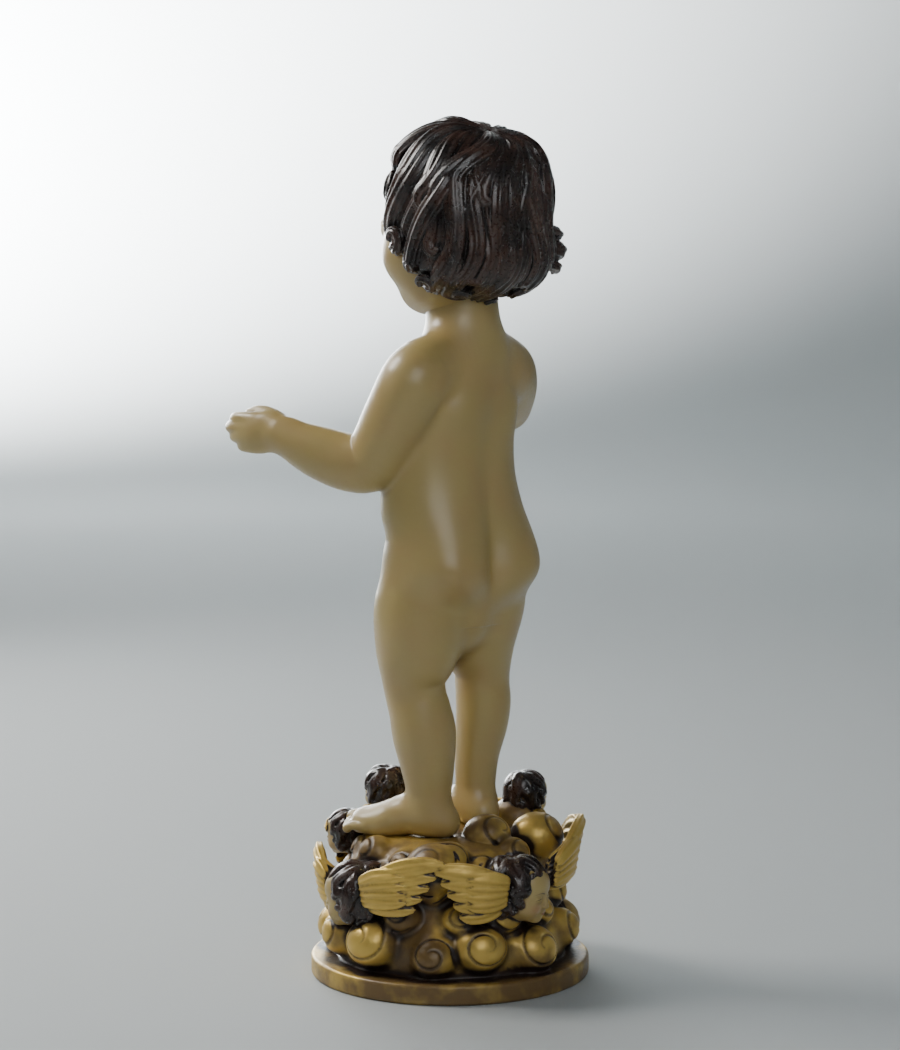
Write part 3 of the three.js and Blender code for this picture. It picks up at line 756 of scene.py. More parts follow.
def lay_paint(tree, shader, colour, **tooth):
    """Gives a shader its colour, and the tooth of its dried paint."""
    connect(tree, colour, shader.inputs["Base Color"])
    dried = use_group(tree, grain, **tooth)
    connect(tree, dried["Roughness"], shader.inputs["Roughness"])
    connect(tree, dried["Normal"], shader.inputs["Normal"])


# The flesh paint is olive tan with a satin glaze, mottled a little, and painted darker brown in the creases
# as shade.
FLESH = srgb(172, 150, 94)
FLESH_SHADE = srgb(88, 64, 34)
FLESH_WARM = srgb(176, 138, 90)


def painted_flesh(name, crease_shade):
    """The flesh paint, with so much painted shade in its creases. Gives the material, its tree, shader and
    tone.
    """
    material, shader = new_material(name, FLESH, 0.4, coat=0.4, coat_roughness=0.26)
    tree = material.node_tree
    warmth = use_group(tree, mottle, Scale=55.0, Low=0.35, High=0.75, Amount=0.35)["Mask"]
    hollows = use_group(tree, crease, Scale=140.0, Start=0.1, End=0.75, Depth=crease_shade, Unevenness=0.12)
    tone = mixed(tree, hollows["Mask"], mixed(tree, warmth, FLESH, FLESH_WARM), FLESH_SHADE)
    lay_paint(tree, shader, tone, Scale=900.0, Smooth=0.34, Rough=0.44, Strength=0.06)
    return material, tree, shader, tone


flesh_paint = painted_flesh("flesh paint", 0.85)[0]
child_pose = Matrix.Translation((0, 0, SOLE_HEIGHT)) @ Matrix.Scale(UNIT, 4)
child_body = cast(body, "child_body", BODY_FACES, flesh_paint)
mark_recesses(child_body, body)
finish_piece(child_body, child_pose, "flesh_paint", "child_figure")

# The child's head. It is cast with the body and painted with the same flesh. It has a calm child's face on
# the usual proportions, modelled looking along -Y about the head's middle and then turned on the neck.
HEAD_CELL = 0.27
HEAD_POSE = (
    Matrix.Translation((0.6, 4.6, 208))
    @ Matrix.Rotation(math.radians(14), 4, "Z")
    @ Matrix.Rotation(math.radians(3), 4, "X")
)
EYE = (9.1, -18.3, -3.4)
EYE_RADIUS = 4.9
LID_RADIUS = 5.7
LID_WIDTH = 4.3
UPPER_LID = 1.75
LOWER_LID = 1.3

head = Clay((-30, -36, -44), (30, 36, 36), HEAD_CELL)


def eye_opening(side):
    """The almond between the lids: where two round lids cross, in front of the eye."""

    def distance(x, y, z):
        lids = []
        for height, way in ((UPPER_LID, 1), (LOWER_LID, -1)):
            lid = (LID_WIDTH**2 + height**2) / (2 * height)
            lids.append(np.hypot(x - side * EYE[0], z - EYE[2] + way * (lid - height)) - lid)
        return np.maximum(np.maximum(*lids), y - EYE[1] + 1)

    centre = np.array([side * EYE[0], EYE[1] - 4, EYE[2]])
    return Form(centre - 6, centre + 6, distance)


# Skull, brow, jaw and throat, then the cheeks, the chin and the swell of the mouth.
head.add(egg((0, 3, 2.5), (22.6, 24.6, 25.2)), 6)
head.add(egg((0, -8, 7), (17.2, 15.0, 15)), 8)
head.add(egg((0, -3.6, -11.5), (18.4, 18.4, 18.4)), 8)
head.add(egg((0, -4, -26), (13, 12, 6)), 10)
for side in (1, -1):
    head.add(egg((side * 9.6, -12.2, -13), (9.2, 9.2, 8.8)), 8)
head.add(egg((0, -14.8, -25), (6.6, 5.8, 5)), 8)
head.add(egg((0, -17.6, -17.4), (6.2, 4.6, 5.2)), 4)

# Eye hollows with their lids, then the nose, its wings and nostrils, and the lips.
for side in (1, -1):
    head.carve(egg((side * 9.4, -25.6, -3.0), (6.4, 4.2, 4.4)), 5)
    head.add(egg((side * EYE[0], EYE[1], EYE[2]), (LID_RADIUS, LID_RADIUS, LID_RADIUS)), 1.6)
    head.carve(eye_opening(side), 0.3)
    lid_line = [
        [side * (EYE[0] + x), EYE[1] - depth, EYE[2] + height, 0.3]
        for x, depth, height in ((-4.6, 3.0, 1.8), (-2, 4.7, 3.5), (1.6, 4.6, 3.6), (4.6, 2.6, 1.8))
    ]
    head.carve(limb(lid_line), 0.7)
nose = [[0, -20.6, 3, 2.1], [0, -22.2, -3, 1.9], [0, -24.0, -8, 2.2], [0, -24.6, -10.6, 2.6]]
head.add(limb(nose, reach=4), 3.2)
for side in (1, -1):
    head.add(egg((side * 2.7, -23.0, -11.4), (1.9, 2.4, 1.7)), 1.2)
    head.carve(egg((side * 1.35, -24.4, -13.2), (0.65, 0.95, 0.7)), 0.4)
head.carve(egg((0, -24.1, -15.2), (0.7, 0.9, 1.5)), 1.0)
for side in (1, -1):
    head.add(egg((side * 1.65, -22.7, -17.5), (2.7, 1.7, 1.15), (0, side * 14, side * -16)), 0.8)
head.add(egg((0, -22.5, -19.6), (3.0, 1.8, 1.4)), 0.8)
mouth = [[-4.3, -21.9, -18.5, 0.26], [-2.1, -24.0, -18.7, 0.3], [0, -24.4, -18.45, 0.3]]
mouth = mouth + [[-x, y, z, r] for x, y, z, r in mouth[1::-1]]
head.carve(limb(mouth), 0.4)
head.carve(egg((0, -23.2, -22.4), (3.2, 1.2, 0.9)), 2.2)

# The features are painted on by hand: fine brown brows and lash lines, rose lips and a soft blush. They are
# placed by each point's place on the face, measured from the middle of the head on the head's own scale.
BROW_HEIGHT = 4.3
BROW_MIDDLE = 8.8
BROW_ARCH = 0.055
BROW_ENDS = (4.2, 15.2)
LASH_RADIUS = 6.3
LASH_DROP = 4.41
LASH_ENDS = (4.4, 13.8)
MOUTH_HEIGHT = -18.7
LIP_SIZE = (4.5, 2.05)
CHEEK = (12.6, -12.6)
PAINTED_BROWN = srgb(58, 38, 24)
PAINTED_ROSE = srgb(158, 92, 66)

features, given, result = new_group(
    "painted features",
    {"Place": (0.0, 0.0, 0.0)},
    {"Lines": "NodeSocketFloat", "Lips": "NodeSocketFloat", "Blush": "NodeSocketFloat"},
)
parts = node(features, "ShaderNodeSeparateXYZ", Vector=given["Place"]).outputs
face_height = parts["Z"]
in_front = ramp(features, parts["Y"], -14.0, -10.0, 1.0, 0.0)


def reckon(operation, *values):
    return math_node(features, operation, *values)


face_across = reckon("ABSOLUTE", parts["X"])


def away(centre_across, centre_height, wide=1.0, high=1.0):
    """How far a point of the face is from a centre, with its width and height as the units."""
    dx = reckon("DIVIDE", reckon("SUBTRACT", face_across, centre_across), wide)
    dz = reckon("DIVIDE", reckon("SUBTRACT", face_height, centre_height), high)
    return reckon("SQRT", reckon("ADD", reckon("POWER", dx, 2.0), reckon("POWER", dz, 2.0)))


def between(value, low, high, edge):
    """1 where the value lies between two limits, with soft edges."""
    rising = ramp(features, value, low - edge, low + edge)
    return reckon("MULTIPLY", rising, ramp(features, value, high - edge, high + edge, 1.0, 0.0))


from_middle = reckon("POWER", reckon("SUBTRACT", face_across, BROW_MIDDLE), 2.0)
arch = reckon("SUBTRACT", BROW_HEIGHT, reckon("MULTIPLY", from_middle, BROW_ARCH))
off_arch = reckon("ABSOLUTE", reckon("SUBTRACT", face_height, arch))
brow_edge = ramp(features, face_across, 4.0, 15.5, 0.75, 0.1)
brow = ramp(features, reckon("SUBTRACT", off_arch, brow_edge), -0.25, 0.25, 0.75, 0.0)
brow = reckon("MULTIPLY", brow, between(face_across, *BROW_ENDS, 0.7))
off_lid = reckon("ABSOLUTE", reckon("SUBTRACT", away(EYE[0], EYE[2] - LASH_DROP), LASH_RADIUS))
lash = ramp(features, off_lid, 0.14, 0.42, 0.85, 0.0)
lash = reckon("MULTIPLY", lash, between(face_across, *LASH_ENDS, 0.3))
lash = reckon("MULTIPLY", lash, ramp(features, face_height, EYE[2] - 0.8, EYE[2] - 0.2))
lips = ramp(features, away(0.0, MOUTH_HEIGHT, *LIP_SIZE), 0.75, 1.1, 0.8, 0.0)
blush = ramp(features, away(*CHEEK), 1.0, 8.5, 0.42, 0.0)
for name, mask in (("Lines", reckon("MAXIMUM", brow, lash)), ("Lips", lips), ("Blush", blush)):
    features.links.new(reckon("MULTIPLY", mask, in_front), result[name])


def painted_face(name, crease_shade):
    """Flesh paint with the painted features over it."""
    material, tree, shader, tone = painted_flesh(name, crease_shade)
    drawn = use_group(tree, features, Place=attribute(tree, "face_place", "Vector"))
    tone = mixed(tree, drawn["Blush"], tone, PAINTED_ROSE)
    tone = mixed(tree, drawn["Lips"], tone, PAINTED_ROSE)
    connect(tree, mixed(tree, drawn["Lines"], tone, PAINTED_BROWN), shader.inputs["Base Color"])
    return material


def points_of(thing):
    points = np.empty(len(thing.data.vertices) * 3, np.float32)
    thing.data.vertices.foreach_get("co", points)
    return points.reshape(-1, 3)


def mark_face(thing, places):
    """Stores where each point lies on its face, on the scale of the child's head."""
    stored = thing.data.attributes.new("face_place", "FLOAT_VECTOR", "POINT")
    stored.data.foreach_set("vector", np.ascontiguousarray(places, np.float32).ravel())


HEAD_FACES = 130000
head_pose = child_pose @ HEAD_POSE
child_head = cast(head, "child_head", HEAD_FACES, painted_face("face paint", 0.85))
mark_face(child_head, points_of(child_head))

# The hair. Dark brown gloss paint over wavy locks that flow from a crown at the back of the head. They end in
# curls round the face and over the ears, and hang straighter at the nape. It is cast with the head.
HAIR_CELL = 0.3
HAIR_CENTRE = Vector((0, 2.5, 1.4))
HAIR_RADII = (27.6, 29.8, 28.6)
CROWN = Vector((0.05, 0.45, 0.9)).normalized()
CAP_SINK = 2.2
BACK_SWELL = -2.6


def cap_reach(x, y, z, inset=8.0):
    """How far the hair's cap reaches from its middle, in the direction x, y, z of length 1. It is drawn in by
    `inset` over the face, in a window that widens towards the jaw, and it is full at the nape."""
    around = np.abs(np.arctan2(x, -y))
    oval = 1 / np.sqrt(sum((part / radius) ** 2 for part, radius in zip((x, y, z), HAIR_RADII)))
    window = 0.75 + 0.6 * smooth_step(-z, 0.2, 0.95)
    front = 1 - smooth_step(around, window, window + 0.3)
    over_face = front * smooth_step(np.arccos(np.clip(z, -1, 1)), 0.8, 1.05)
    nape = 6 * (1 - front) * hump(z, -0.72, 0.3)
    off_swell = np.arctan2(x, -y) - BACK_SWELL
    off_swell = np.arctan2(np.sin(off_swell), np.cos(off_swell))
    swell = 2.4 * hump(off_swell, 0, 0.8) * hump(np.arccos(np.clip(z, -1, 1)), 0.9, 0.45)
    return oval - CAP_SINK + nape + swell - inset * over_face


def cap_distance(x, y, z):
    dx, dy, dz = x - HAIR_CENTRE.x, y - HAIR_CENTRE.y, z - HAIR_CENTRE.z
    reach = np.sqrt(dx * dx + dy * dy + dz * dz) + 1e-6
    return (reach - cap_reach(dx / reach, dy / reach, dz / reach)) * 0.9


def cap_point(direction, lift):
    """Where a lock lies in a direction from the cap's middle: on the cap or the forehead, lifted off it."""
    direction = direction.normalized()
    return HAIR_CENTRE + direction * (float(cap_reach(*direction, inset=3.4)) + lift)


def head_direction(around, down):
    """A direction from the head's middle, in degrees round from the face and down from the top."""
    around, down = math.radians(around), math.radians(down)
    return Vector((math.sin(around) * math.sin(down), -math.cos(around) * math.sin(down), math.cos(down)))


RIPPLE = 0.7
CROWN_DIP = 0.3
LOCK_STATIONS = 18
LOCK_FLATNESS = 0.7
STRANDS = 7
STRAND_DEPTH = 0.26


def lock(around, down, width, wave=2.0, phase=0.0, lift=0.2, curl=0.0, turns=0.3, spin=1, stand=0.5):
    """A lock of hair. It flows from the crown in waves to a place on the head, and ends there in a curl of
    the given radius that turns one way or the other, and stands out from the head by `stand`."""
    goal = head_direction(around, down)
    side = CROWN.cross(goal).normalized()
    goal = (goal - side * spin * curl / HAIR_RADII[0]).normalized()
    sweep = CROWN.angle(goal)
    stations = []
    for share in np.linspace(0.04, 1, LOCK_STATIONS):
        spot = CROWN * math.sin((1 - share) * sweep) + goal * math.sin(share * sweep)
        sway = wave * math.sin(3.4 * sweep * share + phase) * math.sin(math.pi * min(share * 1.05, 1)) ** 0.7
        ripple = RIPPLE * math.sin(2.6 * sweep * share + 2.3 * phase)
        risen = min(1.0, share / 0.3)
        rise = (lift + ripple) * risen - CROWN_DIP * (1 - risen)
        point = cap_point(spot / math.sin(sweep) + side * sway / HAIR_RADII[0], rise)
        stations.append([*point, width * (0.2 + 0.8 * min(1.0, share / 0.45)) * (1 - 0.25 * share**4)])
    spot = Vector(stations[-1][:3])
    heading = (spot - Vector(stations[-2][:3])).normalized()
    count = max(3, round(12 * turns))
    for k in range(1, count + 1):
        share = k / count
        out = (spot - HAIR_CENTRE).normalized()
        turn = 2 * math.pi * turns / count
        bend = max(curl, width) * (1 - 0.82 * share)
        heading = Matrix.Rotation(spin * turn, 3, out) @ heading
        heading = (heading - out * heading.dot(out)).normalized()
        end_rise = rise + stand * share
        spot = cap_point(spot + heading * bend * turn - HAIR_CENTRE, end_rise)
        stations.append([*spot, width * 0.75 * (1 - (0.5 if curl else 0.72) * share)])
    return limb(
        stations,
        flat=LOCK_FLATNESS,
        side=lambda point: point - np.array(HAIR_CENTRE),
        steps=2,
        strands=STRANDS,
        groove=STRAND_DEPTH,
    )


def curl_lock(angle, height, size, spin, stand=1.8):
    """A lock that ends in a curl of a given size, at a height on the head."""
    rise = max(-0.97, min(0.97, (height - HAIR_CENTRE.z) / (HAIR_RADII[2] * 0.97)))
    down = math.degrees(math.acos(rise))
    return lock(angle, down, size * 0.33, 2.0, angle * 0.05, 0.4, size * 0.4, 1.05, spin, stand)


hair = Clay((-40, -40, -40), (40, 44, 40), HAIR_CELL)
hair.add(Form((-34, -34, -36), (34, 38, 36), cap_distance))
chance = np.random.default_rng(7)
BACK_LOCKS = 16
for i in range(BACK_LOCKS):
    around = 92 + 176 * i / (BACK_LOCKS - 1)
    width = 3.6 + chance.uniform(-0.3, 0.5)
    down = 136 + chance.uniform(-9, 10)
    phase = 0.9 + chance.uniform(-0.8, 0.8)
    spin = 1 if i % 2 else -1
    back = lock(around, down, width, wave=4.2, phase=phase, lift=0.0, turns=0.36, spin=spin, stand=1.0)
    hair.add(back, 0.4)
UPPER_LOCKS = 9
for i in range(UPPER_LOCKS):
    around = 98 + 164 * i / (UPPER_LOCKS - 1) + chance.uniform(-4, 4)
    down = 96 + chance.uniform(-18, 22)
    phase = 0.6 + chance.uniform(-1.2, 1.2)
    spin = -1 if i % 2 else 1
    upper = lock(around, down, 3.5, wave=4.6, phase=phase, lift=0.8, turns=0.5, spin=spin, stand=0.8)
    hair.add(upper, 0.3)

# Over the brow and the temples the locks lie in two layers, each as [degrees round, degrees down, lift].
FRONT_LOCKS = [
    *[(around, down, 0.3) for around, down in ((12, 60), (36, 66), (60, 88), (80, 104))],
    *[(around, down, 1.0) for around, down in ((24, 46), (46, 58), (70, 73), (93, 83))],
]
for around, down, lift in FRONT_LOCKS:
    for spin in (1, -1):
        phase = spin * around * 0.04
        front = lock(spin * around, down - spin, 3.5, wave=2.6, phase=phase, lift=lift, turns=0.4, spin=spin)
        hair.add(front, 0.2)
hair.add(lock(0, 42, 3.4, wave=2.4, lift=1.2, turns=0.35), 0.2)

# Curls round the face in pairs, each as [degrees round, height, size]. They are listed with those over the
# brow and the nape, each as [degrees round, height, size, way round, how far it stands out, blend].
FACE_CURLS = [(24, 18, 11.5), (46, 11, 13), (64, -8, 12), (86, -19, 10.5), (116, -23, 10)]
CURLS = [
    *[(spin * angle, height, size, spin, 1.8, 0.2) for angle, height, size in FACE_CURLS for spin in (1, -1)],
    (150, -25, 10, 1, 1.8, 0.2),
    (-150, -22, 11, -1, 0.8, 0.4),
    (2, 20, 10, -1, 1.8, 0.2),
    (180, -27, 9, 1, 1.8, 0.2),
    (-141, -12, 13, 1, 2.0, 0.4),
]
for angle, height, size, spin, stand, blend in CURLS:
    hair.add(curl_lock(angle, height, size, spin, stand), blend)

# Behind the right ear the hair is gathered in a ringlet that stands out.
RINGLET = Vector((-22.3, 20.2, -12.6))
RINGLET_RISE = 7.0
RINGLET_REACH = 4.5
RINGLET_TURNS = 2.4
RINGLET_STEPS = 24
hair.add(egg(RINGLET, (4.6, 4.6, 7.0)), 2)
coil = []
for k in range(RINGLET_STEPS + 1):
    turn = 2 * math.pi * RINGLET_TURNS * k / RINGLET_STEPS
    height = RINGLET_RISE * (1 - 2 * k / RINGLET_STEPS)
    reach = RINGLET_REACH * math.sqrt(max(0.15, 1 - (height / 8.2) ** 2))
    out = Vector((reach * math.cos(turn), reach * math.sin(turn), height))
    coil.append([*(RINGLET + out), 2.5 - 0.6 * abs(height / RINGLET_RISE)])
ringlet = limb(coil, flat=0.8, side=lambda point: point - np.array(RINGLET), steps=2, strands=5, groove=0.22)
hair.add(ringlet, 0.3)
hair.add(curl_lock(166, -26, 9, 1, 0.6), 0.4)

HAIR_DARK = srgb(24, 17, 15)
HAIR_BROWN = srgb(66, 44, 35)
hair_paint, hair_shader = new_material("hair paint", HAIR_DARK, 0.32, coat=0.4, coat_roughness=0.2)
hair_tree = hair_paint.node_tree
# Painted shade darkens the hollows in and between the locks; the raised parts are lighter brown in patches.
hollows = use_group(hair_tree, crease, Scale=200.0, Start=0.06, End=0.46, Depth=1.0, Unevenness=0.05)
worn = use_group(hair_tree, mottle, Scale=120.0, Low=0.3, High=0.7, Amount=1.0)
raised = math_node(hair_tree, "SUBTRACT", 1.0, hollows["Mask"])
brown = mixed(hair_tree, math_node(hair_tree, "MULTIPLY", raised, worn["Mask"]), HAIR_DARK, HAIR_BROWN)
lay_paint(hair_tree, hair_shader, brown, Scale=1000.0, Smooth=0.24, Rough=0.38, Strength=0.08)

HAIR_FACES = 190000
head.add(hair.form(Matrix.Identity(4), 1.0))
mark_recesses(child_head, head)
finish_piece(child_head, head_pose, "flesh_paint", "child_figure")
child_hair = cast(hair, "child_hair", HAIR_FACES, hair_paint)
mark_recesses(child_hair, hair, (0.8, 1.6, 3.0))
finish_piece(child_hair, head_pose, "flesh_paint", "child_figure")

# The eyes. Painted balls behind the lids: warm white, with brown irises and black pupils under a clear gloss.
IRIS = 2.45
PUPIL = 1.05
GAZE_DOWN = 0.35
EYE_WHITE = srgb(222, 216, 204)
EYE_BROWN = srgb(84, 52, 28)
EYE_BLACK = srgb(10, 8, 8)
eyes = bmesh.new()
for side in (1, -1):
    ball = Matrix.Translation((side * EYE[0], EYE[1], EYE[2]))
    bmesh.ops.create_icosphere(eyes, subdivisions=4, radius=EYE_RADIUS, matrix=ball)
eye_mesh = bpy.data.meshes.new("child_eyes")
eyes.to_mesh(eye_mesh)
eyes.free()
eye_mesh.shade_smooth()
child_eyes = bpy.data.objects.new("child_eyes", eye_mesh)
scene.collection.objects.link(child_eyes)
spots = np.array([vertex.co for vertex in eye_mesh.vertices])
from_gaze = np.hypot(np.abs(spots[:, 0]) - EYE[0], spots[:, 2] - EYE[2] + GAZE_DOWN)
mark(child_eyes, "gaze", np.where(spots[:, 1] < EYE[1], from_gaze, EYE_RADIUS))
eye_paint, eye_shader = new_material("eye paint", EYE_WHITE, 0.12)
eye_tree = eye_paint.node_tree
gaze = attribute(eye_tree, "gaze")
tone = mixed(eye_tree, ramp(eye_tree, gaze, IRIS - 0.15, IRIS + 0.15), EYE_BROWN, EYE_WHITE)
tone = mixed(eye_tree, ramp(eye_tree, gaze, PUPIL - 0.12, PUPIL + 0.12), EYE_BLACK, tone)
connect(eye_tree, tone, eye_shader.inputs["Base Color"])
eye_mesh.materials.append(eye_paint)
finish_piece(child_eyes, head_pose, "flesh_paint", "child_figure")

# The winged heads of the base. Each is a child's round face in flesh paint under short wavy dark hair. One
# head is sculpted at a radius of ten units and pressed into the base in two sizes.
CHERUB_RADIUS = 10.0
CHERUB_CELL = 0.24
BASE_RADIUS = 49.0
BASE_HEIGHT = 50.0
LARGE_HEAD_WIDTH = 23.0
SMALL_HEAD_WIDTH = 16.5
HEAD_WIDTH_IN_RADII = 2.24
CHERUB_NOD = math.radians(11)

cherub_face = Clay((-13, -14, -14), (13, 14, 15), CHERUB_CELL)
cherub_face.add(egg((0, 0.4, 0.2), (8.2, 8.6, 8.6)), 1)
cherub_face.add(egg((0, -1.8, -3.4), (7.6, 7.4, 6.4)), 3)
cherub_face.add(egg((0, -4.2, 3.6), (6.4, 5.2, 5.4)), 3)
cherub_face.add(egg((0, -7.0, -7.6), (2.3, 2.0, 1.8)), 2)
for side in (1, -1):
    cherub_face.add(egg((side * 3.7, -5.2, -3.9), (3.4, 3.3, 3.2)), 2)
    cherub_face.carve(egg((side * 3.4, -10.0, -0.2), (2.3, 1.5, 1.6)), 1.6)
    cherub_face.add(egg((side * 3.3, -7.8, -0.5), (1.7, 1.4, 1.25)), 0.4)
    closed_lid = [(1.8, -9.0, -0.7, 0.16), (3.3, -9.6, -1.0, 0.2), (4.8, -8.6, -0.6, 0.16)]
    cherub_face.carve(limb([[side * x, y, z, radius] for x, y, z, radius in closed_lid]), 0.2)
    cherub_face.add(egg((side * 1.1, -9.3, -2.9), (0.75, 0.9, 0.65)), 0.4)
cherub_face.add(limb([[0, -8.6, 0.8, 0.7], [0, -9.5, -1.4, 0.75], [0, -10.0, -2.7, 1.0]]), 1.1)
cherub_face.add(egg((0, -8.4, -5.1), (2.0, 1.1, 1.6)), 1.2)
for side in (1, -1):
    cherub_face.add(egg((side * 0.62, -9.25, -4.75), (1.05, 0.55, 0.42), (0, side * 12, side * -16)), 0.3)
cherub_face.add(egg((0, -9.15, -5.7), (1.15, 0.6, 0.5)), 0.3)
cherub_face.carve(limb([[-1.8, -8.9, -5.2, 0.12], [0, -9.8, -5.25, 0.16], [1.8, -8.9, -5.2, 0.12]]), 0.2)

# Its hair is sculpted on the scale of the child's hair, in fewer and broader locks, and pressed in smaller.
CHERUB_HAIR_SCALE = 0.37
CHERUB_LOCKS = 11
cherub_hair = Clay((-38, -38, -38), (38, 42, 40), CHERUB_CELL / CHERUB_HAIR_SCALE)
cherub_hair.add(Form((-34, -34, -36), (34, 38, 36), cap_distance))
for i in range(CHERUB_LOCKS):
    around = 62 + 236 * i / (CHERUB_LOCKS - 1)
    spin = 1 if i % 2 else -1
    lower = lock(around, 112 + 12 * (i % 3), 5.2, 4.0, 1.7 * i, lift=0.4, curl=5.0, turns=0.9, spin=spin)
    upper = lock(around + 10, 74 + 9 * (i % 2), 4.8, 4.0, 2.3 * i, lift=1.6, curl=4.6, turns=0.9, spin=-spin)
    cherub_hair.add(lower, 0.3)
    cherub_hair.add(upper, 0.3)
for around, down in ((0, 44), (30, 54), (-30, 52), (54, 76), (-54, 78)):
    spin = 1 if around > 0 else -1
    front = lock(around, down, 4.8, wave=2.5, phase=around * 0.1, lift=1.0, curl=4.4, turns=0.9, spin=spin)
    cherub_hair.add(front, 0.3)


def on_base(angle, out, height):
    """A place on the base in millimetres, from the angle round from +X, the distance out and the height."""
    return [out * math.cos(math.radians(angle)), out * math.sin(math.radians(angle)), height]


# Each head: its angle, how far it looks aside, its height from the soles, its distance out as a share of the
# base's radius, and its wings as [side, degrees round, height of the tip from the soles].
LARGE_HEADS = [
    (-6, -50, -18, 0.81, [(-1, 36, -8), (1, 52, -4)]),
    (87, 30, -14, 0.81, [(-1, 42, -6), (1, 50, 3)]),
    (184, 0, -17, 0.8, [(-1, 40, 0), (1, 40, -3)]),
    (266, 0, -17, 0.8, [(-1, 38, -3), (1, 38, -3)]),
]
SMALL_HEADS = [
    (-60, 0, -3.5, 0.8, []),
    (-81, 0, 11, 0.64, [(-1, 32, 5), (1, 32, 5)]),
    (174, 0, 9.5, 0.68, [(-1, 32, 4), (1, 32, 4)]),
    (228, 0, -1, 0.8, []),
]
BASE_CELL = 0.36
base_low, base_high = (-52, -52, -3), (52, 52, 74)
faces = Clay(base_low, base_high, BASE_CELL)
curls = Clay(base_low, base_high, BASE_CELL)
placed_heads = []
for group, width in ((LARGE_HEADS, LARGE_HEAD_WIDTH), (SMALL_HEADS, SMALL_HEAD_WIDTH)):
    for angle, look, height, out, _ in group:
        pose = (
            Matrix.Translation(on_base(angle, out * BASE_RADIUS, BASE_HEIGHT + height))
            @ Matrix.Rotation(math.radians(angle + look + 90), 4, "Z")
            @ Matrix.Rotation(CHERUB_NOD, 4, "X")
        )
        scale = width / HEAD_WIDTH_IN_RADII / CHERUB_RADIUS
        faces.add(cherub_face.form(pose, scale))
        curls.add(cherub_hair.form(pose, scale * CHERUB_HAIR_SCALE))
        placed_heads.append((pose, scale))

# The wings. Pairs of short gilded wings spread from the heads round the cloud. Each is a fan of long feathers
# with a row of short ones over its root. A feather's girth is a share of the wing's width, and the wing
# stands out by a share of its head's distance. The root and the tip are raised by so many millimetres.
SMALL_WING_RISE = -0.35 * SMALL_HEAD_WIDTH
LARGE_WINGS = {"feathers": 5, "span": 2.2, "girth": 0.125, "out": 1.16, "rise": 4.0, "tip": 1.5}
SMALL_WINGS = {"feathers": 3, "span": 1.0, "girth": 0.17, "out": 1.0, "rise": SMALL_WING_RISE, "tip": 0.0}
LARGE_WING_WIDTH = 1.05 * LARGE_HEAD_WIDTH
SMALL_WING_WIDTH = 0.7 * SMALL_HEAD_WIDTH
wings = Clay(base_low, base_high, BASE_CELL)


def outward(point):
    """The way out from the base's axis to a point."""
    return np.array([point[0], point[1], 0.0])


def feather(angle, out, root, sweep, end, girth, start=0.36):
    """One feather that sweeps round the cloud from behind the head to its tip."""
    stations = []
    for share, wide in ((start, 0.5), (0.5, 0.88), (0.68, 1.1), (0.88, 0.95), (1.0, 0.5)):
        rise = root + (end - root) * smooth_step(share, 0.0, 0.9)
        level = out * (0.82 + 0.18 * smooth_step(share, 0.1, 0.55))
        stations.append([*on_base(angle + sweep * share, float(level), float(rise)), girth * wide])
    return limb(stations, flat=0.62, side=outward, steps=4, strands=6, groove=0.24)


def wing(angle, out, root, side, reach, tip, width, style):
    """A wing from its root behind a head, round one side of the base, to its tip."""
    count, span, girth = style["feathers"], style["span"], width * style["girth"]
    for i in range(count):
        place = span * i / (count - 1)
        sweep = side * reach * (1 - 0.12 * place)
        end = tip - width * 0.3 * place
        wings.add(feather(angle, out - 1.1 * place, root - place * 2.2, sweep, end, girth))
    for i in range(count - 1):
        place = span * (i + 0.5) / (count - 1)
        sweep = side * reach * 0.68
        end = root + (tip - width * 0.3 * place - root) * 0.75
        wings.add(feather(angle, out + 1.2 - 0.9 * place, root - place * 2.2, sweep, end, girth * 0.95, 0.5))


for group, width, style in (
    (LARGE_HEADS, LARGE_WING_WIDTH, LARGE_WINGS),
    (SMALL_HEADS, SMALL_WING_WIDTH, SMALL_WINGS),
):
    for angle, _, height, out, pairs in group:
        far = out * BASE_RADIUS * style["out"]
        root = BASE_HEIGHT + height + style["rise"]
        for side, reach, tip in pairs:
            wing(angle, far, root, side, reach, BASE_HEIGHT + tip + style["tip"], width, style)

# The cloud. A round plinth carries billows of cloud in antique brown, brushed with gold where they stand out.
# It is cut back round the feet, which stand on flat places in it.
RIM_HEIGHT = 7.0
RIM_ROUND = 1.2
SOLE_GAP = 0.3
FOOT_CLEARANCE = 0.6

# The cloud's outline, each as [height, share of the base's radius].
CLOUD_PROFILE = [
    (7.0, 0.88),
    (12.0, 0.88),
    (18.0, 0.86),
    (25.0, 0.77),
    (32.7, 0.74),
    (39.0, 0.73),
    (42.5, 0.71),
    (45.5, 0.67),
    (48.0, 0.6),
    (49.8, 0.5),
    (50.8, 0.38),
    (51.3, 0.1),
]
CLOUD_SINK = 3.2


def cloud_distance(x, y, z):
    """The middle of the cloud, a little inside the billows that stand on it."""
    heights, shares = zip(*CLOUD_PROFILE)
    reach = np.hypot(x, y)
    angle = np.arctan2(y, x)
    lower = 2.0 * hump(z, RIM_HEIGHT + 10, 8) * (0.5 + 0.5 * np.cos(8 * angle + 0.6))
    upper = 3.0 * hump(z, BASE_HEIGHT - 6, 7) * (0.5 + 0.5 * np.cos(7 * angle + 2))
    radius = BASE_RADIUS * np.interp(z, heights, shares) - CLOUD_SINK + lower + upper
    return np.maximum(0.85 * (reach - radius), np.maximum(1 - z, z - heights[-1]))


